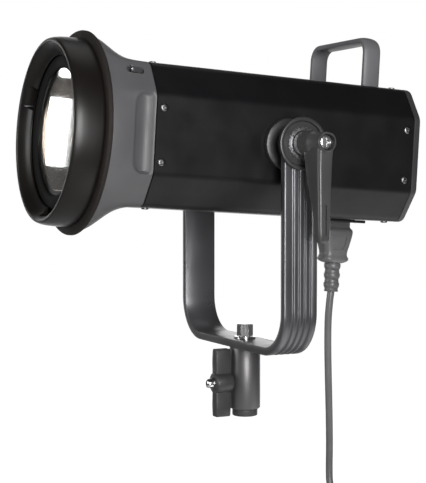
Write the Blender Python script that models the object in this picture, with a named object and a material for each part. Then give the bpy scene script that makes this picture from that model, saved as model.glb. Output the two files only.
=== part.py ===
"""A continuous-light studio monolight on its yoke, with its mains lead.

Metres, +Z up. The origin is the middle of the mouth of the stand receiver. The front of the head faces -Y,
and the tilt lever is on the +X side. The head is modelled level, on the tilt axis, then tipped by REST_TILT.
"""

import math

import bmesh
import bpy
from mathutils import Matrix, Vector

MM = 0.001
GAP = 0.0003

# The yoke and the tilt axis.
PIVOT_Z = 0.219
REST_TILT = math.radians(3.4)
ARM_X = 0.086
ARM_THICK = 0.0065
YOKE_WIDE = 0.0284
YOKE_DROP = 0.1559
YOKE_CORNER = 0.035
STUD_HOLE = 0.0046
GROOVES = 4
GROOVE_DEEP = 0.0011
PIVOT_R = 0.0200
LEVER_TIP = 0.073

# The head's tube, an octagon with rounded corners, and where its parts start and end along its axis.
BODY_HALF_WIDE = 0.070
BODY_HALF_HIGH = 0.054
TOP_FLAT_HALF = 0.053
SIDE_FLAT_HALF = 0.0295
BODY_CORNER = 0.010
BODY_WALL = 0.0025
BODY_FRONT = 0.109
BODY_REAR = -0.1157
CAP_REAR = -0.122
BELL_FRONT = 0.1445

# The accessory mount.
FLANGE_R = 0.078
FLANGE_FRONT = 0.1485
RING_R = 0.0718
RING_FRONT = 0.1715
RING_INNER_R = 0.0577
GLASS_R = 0.0492
LUG_NOTCHES = (-62, 58, 178)
PIN_ANGLE = math.radians(52)
LOCK_PIN_R = 0.0605

# The fan, behind the heat sink's fins.
FAN_FRONT = -0.0635
FAN_REAR = -0.0385

# The rear panel: places are (x, z) in the head.
DISPLAY_AT = (-0.0170, 0.0130)
DISPLAY_SIZE = (0.0460, 0.0300)
DIAL_AT = (0.0230, 0.0090)
BUTTONS = {"button_mode": (-0.0320, -0.0150), "button_down": (-0.0170, -0.0150),
           "button_up": (-0.0020, -0.0150)}
BUTTON_R = 0.0040
ROCKER_AT = (0.0300, -0.0310)
ROCKER_HOLE = (0.0192, 0.0128)
ROCKER_PIVOT_Y = 0.1175
ROCKER_LEAN = math.radians(8)
VENTS_PER_ROW = 7
VENT_ROWS = (0.0400, -0.0370)

# The carry handle, a bent strap.
HANDLE_AT = -0.089
HANDLE_LEG_X = 0.0424
HANDLE_THICK = 0.0048
HANDLE_TOP = 0.095
HANDLE_HALF_WIDE = 0.0079

# The inlet, under the tail of the tube.
INLET_AT = -0.0885
INLET_FLANGE = (0.0225, 0.050, 0.0023)
INLET_HOLE = (0.0204, 0.0276)
CONTACTS = [(-0.0020, -0.0070), (-0.0020, 0.0070), (0.0020, 0.0)]

# The connector in the inlet: height, width, length and corner radius of each section, and its relief's end.
PLUG_SECTIONS = [(-0.0445, 0.0155, 0.0236, 0.003), (-0.0618, 0.0155, 0.0236, 0.003),
                 (-0.0630, 0.0200, 0.0280, 0.005), (-0.0655, 0.0212, 0.0289, 0.005),
                 (-0.0830, 0.0165, 0.0215, 0.005), (-0.0880, 0.0190, 0.0252, 0.006),
                 (-0.0915, 0.0150, 0.0190, 0.006)]
PLUG_END = -0.1155

# The stand receiver.
BAR_UNDER = PIVOT_Z - YOKE_DROP - ARM_THICK
RECEIVER_R = 0.0126
BUSH_R = 0.01035
SPIGOT_R = 0.0080
KNOB_Z = 0.0280
SPIGOT_DEEP = 0.043
KNOB_GAP = 0.0010
KNOB_HALF_TALL = 0.0275

# The mains lead, 3.0 m of it: what hangs free, and a coil tied below.
CORD_R = 0.00315
COIL_MIDDLE = Vector((-0.0250, 0.0865, -0.1330))
COIL_R = 0.036
COIL_STEP = 0.0064
COIL_COLUMNS = 4
COIL_LAYERS = 3
TIE_ANGLE = math.radians(38)
TAIL_TOP = 0.0262
TAIL_END = 0.0480
CORD_ROUTE = [(-0.5, 80.6, 90.0), (-2.5, 80.4, 74.0), (-6.0, 82.3, 50.0), (-11.0, 86.0, 20.0),
              (-17.5, 90.8, -12.0), (-23.2, 94.6, -38.0), (-25.8, 96.0, -56.0), (-25.3, 96.1, -70.0),
              (-22.0, 96.1, -78.8), (-16.8, 96.1, -84.6)]

BLACK = (0.018, 0.017, 0.018)
CHARCOAL = (0.035, 0.034, 0.036)
DARK_GREY = (0.055, 0.055, 0.058)
STEEL = (0.62, 0.62, 0.63)
ALUMINIUM = (0.55, 0.55, 0.56)
BOARD_GREEN = (0.02, 0.09, 0.04)

# Looks: colour, roughness and metallic value. A cutter has the look that its cut shows.
CUT = (BLACK, 0.5)
MOULDED = (BLACK, 0.5)
BRIGHT = (STEEL, 0.3, 1.0)
CABLE = (DARK_GREY, 0.6)


def clear_scene():
    for old in list(bpy.data.objects):
        bpy.data.objects.remove(old, do_unlink=True)


def material(name, colour, roughness, metallic=0.0):
    made = bpy.data.materials.new(name)
    made.use_nodes = True
    shader = made.node_tree.nodes["Principled BSDF"]
    shader.inputs["Base Color"].default_value = (*colour, 1.0)
    shader.inputs["Roughness"].default_value = roughness
    shader.inputs["Metallic"].default_value = metallic
    return made


def empty(name, place=(0, 0, 0), parent=None, turn=None):
    made = bpy.data.objects.new(name, None)
    bpy.context.collection.objects.link(made)
    made.parent = parent
    made.location = place
    if turn is not None:
        made.rotation_euler = turn
    return made


def solid(name, points, faces, look, parent=None, place=(0, 0, 0), smooth=30):
    """An object from points and faces; place is its origin, in its parent's frame, and the points are too."""
    mesh = bpy.data.meshes.new(name)
    origin = Vector(place)
    mesh.from_pydata([Vector(p) - origin for p in points], [], faces)
    work = bmesh.new()
    work.from_mesh(mesh)
    bmesh.ops.recalc_face_normals(work, faces=work.faces)
    work.to_mesh(mesh)
    work.free()
    mesh.shade_smooth()
    mesh.set_sharp_from_angle(angle=math.radians(smooth))
    made = bpy.data.objects.new(name, mesh)
    bpy.context.collection.objects.link(made)
    made.parent = parent
    made.location = place
    mesh.materials.append(material(name, *look))
    return made


def hidden(cutter):
    cutter.hide_render = True
    cutter.display_type = "WIRE"
    return cutter


def boolean(target, tool, operation="DIFFERENCE"):
    step = target.modifiers.new(operation.lower() + "_" + tool.name, "BOOLEAN")
    step.operation = operation
    step.object = hidden(tool)
    step.solver = "EXACT"
    return target


def loft(name, rings, look, parent=None, place=(0, 0, 0), closed=False, smooth=30):
    """A skin over rings of as many points each: its ends are capped, or joined to each other if closed."""
    count = len(rings[0])
    points = [p for ring in rings for p in ring]
    faces = []
    for k in range(len(rings) if closed else len(rings) - 1):
        a, b = k * count, (k + 1) % len(rings) * count
        faces += [(a + i, a + (i + 1) % count, b + (i + 1) % count, b + i) for i in range(count)]
    if not closed:
        faces += [tuple(range(count))[::-1], tuple(range(len(points) - count, len(points)))]
    return solid(name, points, faces, look, parent, place, smooth)


AXES = {"x": (0, 1, 2), "y": (1, 2, 0), "z": (2, 0, 1)}


def on_axis(axis, along, p, q):
    """A point at along on that axis, with p and q on the two axes that follow it."""
    a, b, c = AXES[axis]
    point = [0.0, 0.0, 0.0]
    point[a], point[b], point[c] = along, p, q
    return Vector(point)


def lathe(name, profile, look, axis="y", centre=(0, 0, 0), parent=None, bored=False):
    """A turned piece: profile is a list of (along, radius), capped at both ends. If bored, it is the closed
    outline of the wall round a hole. Wide pieces get more sides."""
    middle = Vector(centre)
    sides = 4 * round(3 + 110 * max(radius for _, radius in profile))
    turn = [2 * math.pi * i / sides for i in range(sides)]
    rings = [[middle + on_axis(axis, along, radius * math.cos(t), radius * math.sin(t)) for t in turn]
             for along, radius in profile]
    return loft(name, rings, look, parent, centre, closed=bored)


def tube(name, profile, look, axis="y", centre=(0, 0, 0), parent=None):
    return lathe(name, profile, look, axis, centre, parent, bored=True)


def prism(name, outline, low, high, look, axis="y", parent=None, place=(0, 0, 0), smooth=30):
    """An outline, as points on the two axes that follow axis, drawn out along axis from low to high."""
    rings = [[on_axis(axis, along, p, q) for p, q in outline] for along in (low, high)]
    return loft(name, rings, look, parent, place, smooth=smooth)


def block(name, low, high, look, parent=None, place=(0, 0, 0)):
    outline = [(low[1], low[2]), (high[1], low[2]), (high[1], high[2]), (low[1], high[2])]
    return prism(name, outline, low[0], high[0], look, "x", parent, place)


def rounded(corners, radius, steps=3):
    """A closed outline with each corner rounded to the radius."""
    made = []
    for i, corner in enumerate(corners):
        here = Vector(corner)
        before = (Vector(corners[i - 1]) - here).normalized()
        after = (Vector(corners[(i + 1) % len(corners)]) - here).normalized()
        half = before.angle(after) / 2
        back = radius / math.tan(half)
        middle = here + (before + after).normalized() * (radius / math.sin(half))
        start, end = here + before * back - middle, here + after * back - middle
        sweep = start.angle_signed(end)
        for k in range(steps + 1):
            made.append(tuple(middle + Matrix.Rotation(-sweep * k / steps, 2) @ start))
    return made


def rectangle(wide, high, radius=0.0, steps=3, middle=(0, 0)):
    a, b = wide / 2, high / 2
    corners = [(middle[0] - a, middle[1] - b), (middle[0] + a, middle[1] - b),
               (middle[0] + a, middle[1] + b), (middle[0] - a, middle[1] + b)]
    return rounded(corners, radius, steps) if radius else corners


def octagon(shrink=0.0):
    """The tube's cross-section as (z, x) points, drawn in all round by shrink."""
    slope = math.hypot(BODY_HALF_WIDE - TOP_FLAT_HALF, BODY_HALF_HIGH - SIDE_FLAT_HALF)
    wide, high = BODY_HALF_WIDE - shrink, BODY_HALF_HIGH - shrink
    side_step = (slope - (BODY_HALF_HIGH - SIDE_FLAT_HALF)) / (BODY_HALF_WIDE - TOP_FLAT_HALF)
    top_step = (slope - (BODY_HALF_WIDE - TOP_FLAT_HALF)) / (BODY_HALF_HIGH - SIDE_FLAT_HALF)
    top, side = TOP_FLAT_HALF - shrink * top_step, SIDE_FLAT_HALF - shrink * side_step
    corners = [(high, top), (side, wide), (-side, wide), (-high, top),
               (-high, -top), (-side, -wide), (side, -wide), (high, -top)]
    return rounded(corners, max(0.001, BODY_CORNER - shrink))


def along_head(outline, s):
    """An outline of (z, x) points, placed s in front of the tilt axis."""
    return [Vector((x, -s, z)) for z, x in outline]


# ---------------------------------------------------------------- head

def octagon_radius(angle, outline):
    """How far the outline is from its middle in a direction."""
    ray = Vector((math.cos(angle), math.sin(angle)))
    best = 0.0
    for i, corner in enumerate(outline):
        a, b = Vector(outline[i - 1]), Vector(corner)
        edge = b - a
        across = ray.cross(edge)
        if abs(across) < 1e-12:
            continue
        along, share = a.cross(edge) / across, a.cross(ray) / across
        if along > 0 and -1e-6 <= share <= 1 + 1e-6:
            best = max(best, along)
    return best


def smoothstep(value):
    value = min(1.0, max(0.0, value))
    return value * value * (3 - 2 * value)


def bell_ring(s, shrink, count=44):
    """A cross-section of the bell: the tube's octagon at the seam, flaring to a circle at the flange."""
    share = smoothstep((s - BODY_FRONT) / (BELL_FRONT - BODY_FRONT)) ** 1.25
    outline = octagon(shrink)
    ring = []
    for i in range(count):
        angle = 2 * math.pi * i / count
        radius = octagon_radius(angle, outline) * (1 - share) + (0.0752 - shrink) * share
        ring.append(Vector((radius * math.sin(angle), -s, radius * math.cos(angle))))
    return ring


def make_bell(head):
    stations = [BODY_FRONT + GAP, 0.117, 0.125, 0.132, 0.139, BELL_FRONT - GAP]
    rings = [bell_ring(s, 0) for s in stations] + [bell_ring(s, BODY_WALL) for s in reversed(stations)]
    bell = loft("front_bell", rings, (CHARCOAL, 0.5), head, closed=True, smooth=25)
    lock_slot = block("lock_slot_cut", (-0.0034, -0.1300, 0.0585), (0.0034, -0.1160, 0.0900), CUT, head)
    lock_slot.rotation_euler = (0, PIN_ANGLE, 0)
    boolean(bell, lock_slot)


def make_body_tube(head):
    rings = [along_head(octagon(), BODY_FRONT), along_head(octagon(), BODY_REAR),
             along_head(octagon(BODY_WALL), BODY_REAR), along_head(octagon(BODY_WALL), BODY_FRONT)]
    body = loft("body_tube", rings, (BLACK, 0.55), head, closed=True, smooth=25)
    wide, long = INLET_HOLE
    cut = block("inlet_cut", (-wide / 2 - GAP, -INLET_AT - long / 2 - GAP, -0.060),
                (wide / 2 + GAP, -INLET_AT + long / 2 + GAP, -0.045), CUT, head)
    boolean(body, cut)
    cut = lathe("trunnion_cut", [(-0.08, 0.0062), (0.08, 0.0062)], CUT, "x", parent=head)
    boolean(body, cut)
    for side in (-1, 1):
        cut = lathe(f"handle_cut_{side}", [(0.045, 0.0024), (0.060, 0.0024)], CUT, "z",
                    (side * HANDLE_LEG_X, -HANDLE_AT, 0), head)
        boolean(body, cut)


def make_mount(head):
    """The steel flange, the bayonet ring with its three lug notches, and the glass in its retainer."""
    flange = tube("mount_flange", [(-BELL_FRONT, 0.0570), (-BELL_FRONT, 0.0768), (-0.1455, FLANGE_R),
                                   (-0.1477, FLANGE_R), (-FLANGE_FRONT, 0.0772), (-FLANGE_FRONT, 0.0570)],
                  (BLACK, 0.4), parent=head)
    pin_hole = lathe("pin_hole_cut", [(-0.160, 0.0016), (-0.140, 0.0016)], CUT, parent=head,
                     centre=(LOCK_PIN_R * math.sin(PIN_ANGLE), 0, LOCK_PIN_R * math.cos(PIN_ANGLE)))
    boolean(flange, pin_hole)
    foot = -FLANGE_FRONT - GAP
    ring = tube("mount_ring", [(foot, 0.0620), (foot, 0.0716), (-0.1500, RING_R), (-0.1560, RING_R),
                               (-0.1650, 0.0713), (-0.1685, 0.0707), (-0.1706, 0.0701), (-RING_FRONT, 0.0696),
                               (-RING_FRONT, 0.0672), (-0.1706, 0.0664), (-0.1690, 0.0650), (-0.1665, 0.0630),
                               (-0.1642, 0.0600), (-0.1633, 0.0585), (-0.1630, RING_INNER_R),
                               (-0.1618, RING_INNER_R), (-0.1618, 0.0620)], (BLACK, 0.32), parent=head)
    for k, turn in enumerate(LUG_NOTCHES):
        notch = block(f"notch_cut_{k}", (-0.0095, -0.1760, 0.0540), (0.0095, -0.1610, 0.0638), CUT, head)
        notch.rotation_euler = (0, math.radians(turn), 0)
        boolean(ring, notch)
    tube("glass_retainer", [(foot, 0.0462), (foot, 0.0590), (-0.1600, 0.0590), (-0.1612, 0.0572),
                            (-0.1612, 0.0488), (-0.1598, 0.0478), (-0.1598, 0.0496), (-0.1560, 0.0496),
                            (-0.1560, 0.0462)], (BLACK, 0.45), parent=head)
    lathe("glass_plate", [(-0.1563, GLASS_R), (-0.1593, GLASS_R)], ((0.75, 0.76, 0.76), 0.08), parent=head)


def make_release(head):
    """The spring-loaded lock: a tab in the bell's slot, which a finger draws back, and the pin on it."""
    slide = empty("release_slide", (0, 0, 0), head, (0, PIN_ANGLE, 0))
    block("release_tab", (-0.0030, -0.1275, 0.0620), (0.0030, -0.1250, 0.0778), BRIGHT, slide)
    lathe("lock_pin", [(-0.1272, 0.0013), (-0.1520, 0.0013), (-0.1526, 0.0008)], (STEEL, 0.25, 1.0), "y",
          (0, 0, LOCK_PIN_R), slide)


def make_light_engine(head):
    """The reflector, the LED on its carrier, and the finned heat sink behind it."""
    tube("reflector", [(-0.1262, 0.0140), (-0.1310, 0.0220), (-0.1400, 0.0340), (-0.1552, 0.0450),
                       (-0.1552, 0.0440), (-0.1400, 0.0329), (-0.1315, 0.0212), (-0.1262, 0.0132)],
         (ALUMINIUM, 0.15, 1.0), parent=head)
    prism("cob_carrier", rectangle(0.040, 0.040, 0.003), -0.1236, -0.1222, ((0.8, 0.8, 0.78), 0.4),
          parent=head)
    lathe("led_cob", [(-0.1239, 0.0115), (-0.1256, 0.0115)], ((0.9, 0.72, 0.25), 0.4), parent=head)
    rings = [along_head(octagon(0.0140), s) for s in (0.1156, 0.1219)]
    sink = loft("heat_sink", rings, (ALUMINIUM, 0.45, 1.0), head)
    count, pitch = 9, 0.0108
    for k in range(count):
        x = (k - (count - 1) / 2) * pitch
        fin = block(f"fin_{k}", (x - 0.0009, -0.1160, -0.0385), (x + 0.0009, -0.0640, 0.0385),
                    (ALUMINIUM, 0.45, 1.0), head)
        boolean(sink, fin, "UNION")


def make_fan(head):
    outer = rectangle(0.092, 0.092, 0.006, 2)
    frame = prism("fan_frame", outer, FAN_FRONT, FAN_REAR, MOULDED, parent=head)
    hole = lathe("fan_hole_cut", [(FAN_FRONT - 0.002, 0.0430), (FAN_REAR - 0.0030, 0.0430)], CUT, parent=head)
    boolean(frame, hole)
    for k in range(4):
        turn = math.radians(45 + 90 * k)
        cut = lathe(f"fan_vent_cut_{k}", [(FAN_REAR - 0.005, 0.0148), (FAN_REAR + 0.002, 0.0148)], CUT,
                    centre=(0.0265 * math.sin(turn), 0, 0.0265 * math.cos(turn)), parent=head)
        boolean(frame, cut)
    axle = empty("fan_axis", (0, 0, 0), head)
    rotor = lathe("fan_rotor", [(FAN_FRONT + 0.002, 0.0170), (FAN_FRONT + 0.001, 0.0185),
                                (FAN_REAR - 0.0045, 0.0185)], MOULDED, parent=axle)
    for k in range(7):
        blade = block(f"fan_blade_{k}", (-0.0100, -0.0008, 0.0165), (0.0100, 0.0008, 0.0408), MOULDED, axle)
        middle = (FAN_FRONT + FAN_REAR) / 2 - 0.0012
        spin = Matrix.Rotation(2 * math.pi * k / 7, 4, "Y") @ Matrix.Translation((0, middle, 0))
        blade.matrix_local = spin @ Matrix.Rotation(math.radians(38), 4, "Z")
        boolean(rotor, blade, "UNION")


def make_boards(head):
    """The LED driver on its standoffs along the tube's floor, and the control board behind the rear panel."""
    green = (BOARD_GREEN, 0.5)
    driver = block("driver_board", (-0.0400, -0.0300, -0.0420), (0.0400, 0.0500, -0.0404), green, head)
    parts = [(-0.0300, -0.0200, 0.0000, 0.0080, 0.0220), (0.0060, -0.0150, 0.0340, 0.0150, 0.0180),
             (-0.0280, 0.0200, -0.0060, 0.0420, 0.0260), (0.0100, 0.0240, 0.0300, 0.0440, 0.0140)]
    for k, (x0, y0, x1, y1, tall) in enumerate(parts):
        part = block(f"driver_part_{k}", (x0, y0, -0.0410), (x1, y1, -0.0404 + tall), MOULDED, head)
        boolean(driver, part, "UNION")
    for k, (x, y) in enumerate([(-0.036, -0.026), (0.036, -0.026), (-0.036, 0.046), (0.036, 0.046)]):
        post = lathe(f"driver_post_{k}", [(-0.0512, 0.0025), (-0.0410, 0.0025)], BRIGHT, "z", (x, y, 0), head)
        boolean(driver, post, "UNION")
    board = block("control_board", (-0.0480, 0.1090, -0.0230), (0.0480, 0.1106, 0.0380), green, head)
    x, z = DIAL_AT
    half = 0.0060
    socket = block("encoder_body", (x - half, 0.1100, z - half), (x + half, 0.1160, z + half), BRIGHT, head)
    boolean(board, socket, "UNION")
    hole = lathe("encoder_cut", [(0.1120, 0.0034), (0.1180, 0.0034)], CUT, centre=(x, 0, z), parent=head)
    boolean(board, hole)


def make_rear_cap(head):
    """The moulded end of the head. Its flat face holds the controls, and air comes in through its slots."""
    rings = [along_head(octagon(), BODY_REAR - GAP), along_head(octagon(), CAP_REAR + 0.0015),
             along_head(octagon(0.0015), CAP_REAR), along_head(octagon(0.0045), CAP_REAR),
             along_head(octagon(0.0060), CAP_REAR + 0.0015)]
    cap = loft("rear_cap", rings, (CHARCOAL, 0.5), head, smooth=25)
    lip = loft("rear_lip", [along_head(octagon(BODY_WALL + 0.0004), BODY_REAR + 0.0060),
                            along_head(octagon(BODY_WALL + 0.0004), BODY_REAR - 0.0010),
                            along_head(octagon(BODY_WALL + 0.0022), BODY_REAR - 0.0010),
                            along_head(octagon(BODY_WALL + 0.0022), BODY_REAR + 0.0060)],
               (CHARCOAL, 0.5), head, closed=True)
    boolean(cap, lip, "UNION")
    y0, y1 = 0.1100, 0.1300
    cuts = [(DISPLAY_AT, (DISPLAY_SIZE[0] + 2 * GAP, DISPLAY_SIZE[1] + 2 * GAP)), (ROCKER_AT, ROCKER_HOLE)]
    for k, (at, size) in enumerate(cuts):
        cut = block(f"panel_cut_{k}", (at[0] - size[0] / 2, y0, at[1] - size[1] / 2),
                    (at[0] + size[0] / 2, y1, at[1] + size[1] / 2), CUT, head)
        boolean(cap, cut)
    holes = [(DIAL_AT, 0.0036)] + [(at, BUTTON_R + GAP) for at in BUTTONS.values()]
    for k, ((x, z), radius) in enumerate(holes):
        boolean(cap, lathe(f"hole_cut_{k}", [(y0, radius), (y1, radius)], CUT, centre=(x, 0, z), parent=head))
    for row, z in enumerate(VENT_ROWS):
        for k in range(VENTS_PER_ROW):
            x = -0.0480 + 0.0080 * k
            low, high = (x - 0.0016, y0, z - 0.0060), (x + 0.0016, y1, z + 0.0060)
            boolean(cap, block(f"vent_cut_{row}_{k}", low, high, CUT, head))


def make_controls(head):
    x, z = DISPLAY_AT
    wide, high = DISPLAY_SIZE
    block("display_window", (x - wide / 2, 0.1180, z - high / 2), (x + wide / 2, 0.1205, z + high / 2),
          ((0.02, 0.025, 0.03), 0.1), head)
    axle = empty("dial_axis", (DIAL_AT[0], 0, DIAL_AT[1]), head)
    lathe("dial_knob", [(0.1125, 0.0030), (0.1209, 0.0030), (0.1209, 0.0120), (0.1219, 0.0128),
                        (0.1330, 0.0122), (0.1345, 0.0108)], (BLACK, 0.4), parent=axle)
    for name, (bx, bz) in BUTTONS.items():
        slide = empty(name + "_slide", (bx, 0, bz), head)
        lathe(name, [(0.1125, 0.0052), (0.1140, 0.0052), (0.1140, BUTTON_R), (0.1222, BUTTON_R),
                     (0.1230, 0.0034)], (DARK_GREY, 0.5), parent=slide)
    rx, rz = ROCKER_AT
    hole_wide, hole_high = ROCKER_HOLE
    housing = block("rocker_housing", (rx - hole_wide / 2 + GAP, 0.1070, rz - hole_high / 2 + GAP),
                    (rx + hole_wide / 2 - GAP, 0.1216, rz + hole_high / 2 - GAP), (BLACK, 0.4), head)
    bezel = block("rocker_bezel", (rx - 0.0115, 0.1208, rz - 0.0080), (rx + 0.0115, 0.1222, rz + 0.0080),
                  (BLACK, 0.4), head)
    boolean(housing, bezel, "UNION")
    low, high = (rx - 0.0082, 0.1095, rz - 0.0052), (rx + 0.0082, 0.1240, rz + 0.0052)
    boolean(housing, block("rocker_cut", low, high, CUT, head))
    hinge = empty("rocker_axis", (rx, ROCKER_PIVOT_Y, rz), head, (0, 0, ROCKER_LEAN))
    outline = [(-0.0070, 0.0060), (0.0, 0.0032), (0.0070, 0.0060), (0.0060, -0.0030), (0.0, -0.0048),
               (-0.0060, -0.0030)]
    prism("power_rocker", outline, -0.0048, 0.0048, (BLACK, 0.35), "z", hinge)


def make_inlet(head):
    """The mains inlet under the tail of the tube: its flange, its shell and its three contacts."""
    wide, long, thick = INLET_FLANGE
    under = -BODY_HALF_HIGH - GAP
    y = -INLET_AT
    plate = rectangle(wide, long, 0.0035, 2, (0, y))
    flange = prism("power_inlet", plate, under - thick, under, MOULDED, "z", head)
    hole_wide, hole_long = INLET_HOLE
    shell = block("inlet_shell", (-hole_wide / 2, y - hole_long / 2, under - 0.001),
                  (hole_wide / 2, y + hole_long / 2, under + 0.0200), MOULDED, head)
    boolean(flange, shell, "UNION")
    well = rectangle(0.0166, 0.0246, 0.003, 2, (0, y))
    cavity = prism("inlet_cavity_cut", well, under - 0.01, under + 0.0175, CUT, "z", head)
    boolean(flange, cavity)
    for k, (x, dy) in enumerate(CONTACTS):
        pin = block(f"inlet_pin_{k}", (x - 0.0010, y + dy - 0.0020, under + 0.0020),
                    (x + 0.0010, y + dy + 0.0020, under + 0.0180), BRIGHT, head)
        boolean(flange, pin, "UNION")


def make_plug(head):
    """The connector in the inlet, and its ribbed strain relief."""
    y = -INLET_AT
    rings = []
    for z, wide, long, radius in PLUG_SECTIONS:
        rings.append([Vector((px, y + py, z)) for px, py in rectangle(wide, long, radius, 3)])
    plug = loft("inlet_plug", rings, CABLE, head, smooth=35)
    relief = [(-0.0905, 0.0068)]
    for groove, radius in ((-0.0955, 0.0067), (-0.1020, 0.0065), (-0.1085, 0.0063)):
        relief += [(groove + 0.0012, radius), (groove + 0.0007, radius - 0.0014),
                   (groove - 0.0007, radius - 0.0014), (groove - 0.0012, radius)]
    boot = lathe("relief_boot", relief + [(PLUG_END, 0.0060)], CABLE, "z", (0, y, 0), head)
    boolean(plug, boot, "UNION")
    for k, (x, dy) in enumerate(CONTACTS):
        low, high = (x - 0.0014, y + dy - 0.0024, -0.0560), (x + 0.0014, y + dy + 0.0024, -0.0400)
        boolean(plug, block(f"plug_slot_{k}", low, high, CUT, head))


def strap_outline(half, top, foot, corner, steps=6):
    """Half of a bent strap's outline from foot to foot, over the top, as (z, x) points."""
    points = [(foot, half)]
    for k in range(steps + 1):
        turn = math.pi / 2 * k / steps
        points.append((top - corner + corner * math.sin(turn), half - corner + corner * math.cos(turn)))
    return points + [(z, -x) for z, x in reversed(points)]


def make_handle(head):
    foot = BODY_HALF_HIGH + GAP
    outer_half = HANDLE_LEG_X + HANDLE_THICK / 2
    outer = strap_outline(outer_half, HANDLE_TOP, foot, 0.0135)
    inner = strap_outline(outer_half - HANDLE_THICK, HANDLE_TOP - HANDLE_THICK, foot, 0.0087)
    low, high = -HANDLE_AT - HANDLE_HALF_WIDE, -HANDLE_AT + HANDLE_HALF_WIDE
    handle = prism("carry_handle", outer + inner[::-1], low, high, (DARK_GREY, 0.4), parent=head)
    edge = handle.modifiers.new("edge", "BEVEL")
    edge.width = 0.0012
    edge.segments = 1
    edge.limit_method = "ANGLE"
    edge.angle_limit = math.radians(60)
    for name, side in (("handle_screw_near", 1), ("handle_screw_far", -1)):
        x = side * HANDLE_LEG_X
        cut = lathe(f"{name}_cut", [(0.050, 0.0020), (0.0665, 0.0020)], CUT, "z", (x, -HANDLE_AT, 0), head)
        boolean(handle, cut)
        lathe(name, [(0.0488, 0.0034), (0.0512, 0.0034), (0.0512, 0.0017), (0.0650, 0.0017)], BRIGHT, "z",
              (x, -HANDLE_AT, 0), head)


def make_trunnions(head):
    """On each side, the disc and boss that the yoke's arm is clamped against, threaded for the stud."""
    face = BODY_HALF_WIDE + GAP
    for name, side in (("trunnion_near", 1), ("trunnion_far", -1)):
        profile = [(0.0640, 0.0043), (0.0640, 0.0058), (face, 0.0058), (face, 0.0195), (0.0737, 0.0200),
                   (0.0747, 0.0190), (0.0747, 0.0112), (0.0838, 0.0108), (0.0838, 0.0043)]
        tube(name, [(side * a, r) for a, r in profile], (CHARCOAL, 0.4), "x", parent=head)
    for name, side in (("friction_washer_near", 1), ("friction_washer_far", -1)):
        profile = [(0.0841, 0.0048), (0.0841, 0.0125), (ARM_X - GAP, 0.0125), (ARM_X - GAP, 0.0048)]
        tube(name, [(side * a, r) for a, r in profile], ((0.03, 0.03, 0.03), 0.9), "x", parent=head)


def make_head():
    head = empty("head_tilt_axis", (0, 0, PIVOT_Z), turn=(-REST_TILT, 0, 0))
    make_body_tube(head)
    make_bell(head)
    make_mount(head)
    make_release(head)
    make_light_engine(head)
    make_fan(head)
    make_boards(head)
    make_rear_cap(head)
    make_controls(head)
    make_inlet(head)
    make_plug(head)
    make_handle(head)
    make_trunnions(head)


# ---------------------------------------------------------------- yoke

def yoke_path():
    """The middle of the inner face, from the near arm's tip round to the far arm's, and the way out of it."""
    low = PIVOT_Z - YOKE_DROP
    corner = YOKE_CORNER - ARM_THICK
    path = [(ARM_X, PIVOT_Z + YOKE_WIDE / 2 + 0.001, 1.0, 0.0), (ARM_X, low + corner, 1.0, 0.0)]
    steps = 5
    for k in range(1, steps + 1):
        turn = math.pi / 2 * k / steps
        path.append((ARM_X - corner + corner * math.cos(turn), low + corner - corner * math.sin(turn),
                     math.cos(turn), -math.sin(turn)))
    return path + [(-x, z, -out_x, out_z) for x, z, out_x, out_z in reversed(path)]


def yoke_section():
    """The strap's cross-section as (y, outward) points, with grooves along its outer face."""
    half, land = YOKE_WIDE / 2, 0.0034
    pitch = 2 * (half - land / 2) / (GROOVES + 1)
    points = [(-half, 0.0), (-half, ARM_THICK - 0.0008), (-half + 0.0008, ARM_THICK)]
    for k in range(1, GROOVES + 1):
        middle = -half + land / 2 + pitch * k
        points += [(middle - 0.0013, ARM_THICK), (middle - 0.0008, ARM_THICK - GROOVE_DEEP),
                   (middle + 0.0008, ARM_THICK - GROOVE_DEEP), (middle + 0.0013, ARM_THICK)]
    return points + [(half - 0.0008, ARM_THICK), (half, ARM_THICK - 0.0008), (half, 0.0)]


def make_yoke():
    """The U of grooved strap, with round arm ends, a hole for each pivot and one for the bolt."""
    section = yoke_section()
    rings = [[Vector((x + out_x * out, y, z + out_z * out)) for y, out in section]
             for x, z, out_x, out_z in yoke_path()]
    yoke = loft("yoke", rings, (DARK_GREY, 0.4), smooth=25)
    half = YOKE_WIDE / 2
    steps = 12
    outline = [(-half - 0.001, -0.01), (half + 0.001, -0.01), (half + 0.001, PIVOT_Z - 0.002)]
    outline += [(half * math.cos(math.pi * k / steps), PIVOT_Z + half * math.sin(math.pi * k / steps))
                for k in range(steps + 1)]
    outline.append((-half - 0.001, PIVOT_Z - 0.002))
    boolean(yoke, prism("yoke_ends", outline, -0.12, 0.12, CUT, "x"), "INTERSECT")
    for name, side in (("near", 1), ("far", -1)):
        cut = lathe(f"stud_{name}_cut", [(side * 0.080, STUD_HOLE), (side * 0.100, STUD_HOLE)], CUT, "x",
                    (0, 0, PIVOT_Z))
        boolean(yoke, cut)
    boolean(yoke, lathe("bolt_hole_cut", [(0.050, 0.0045), (0.070, 0.0045)], CUT, "z"))


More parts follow.
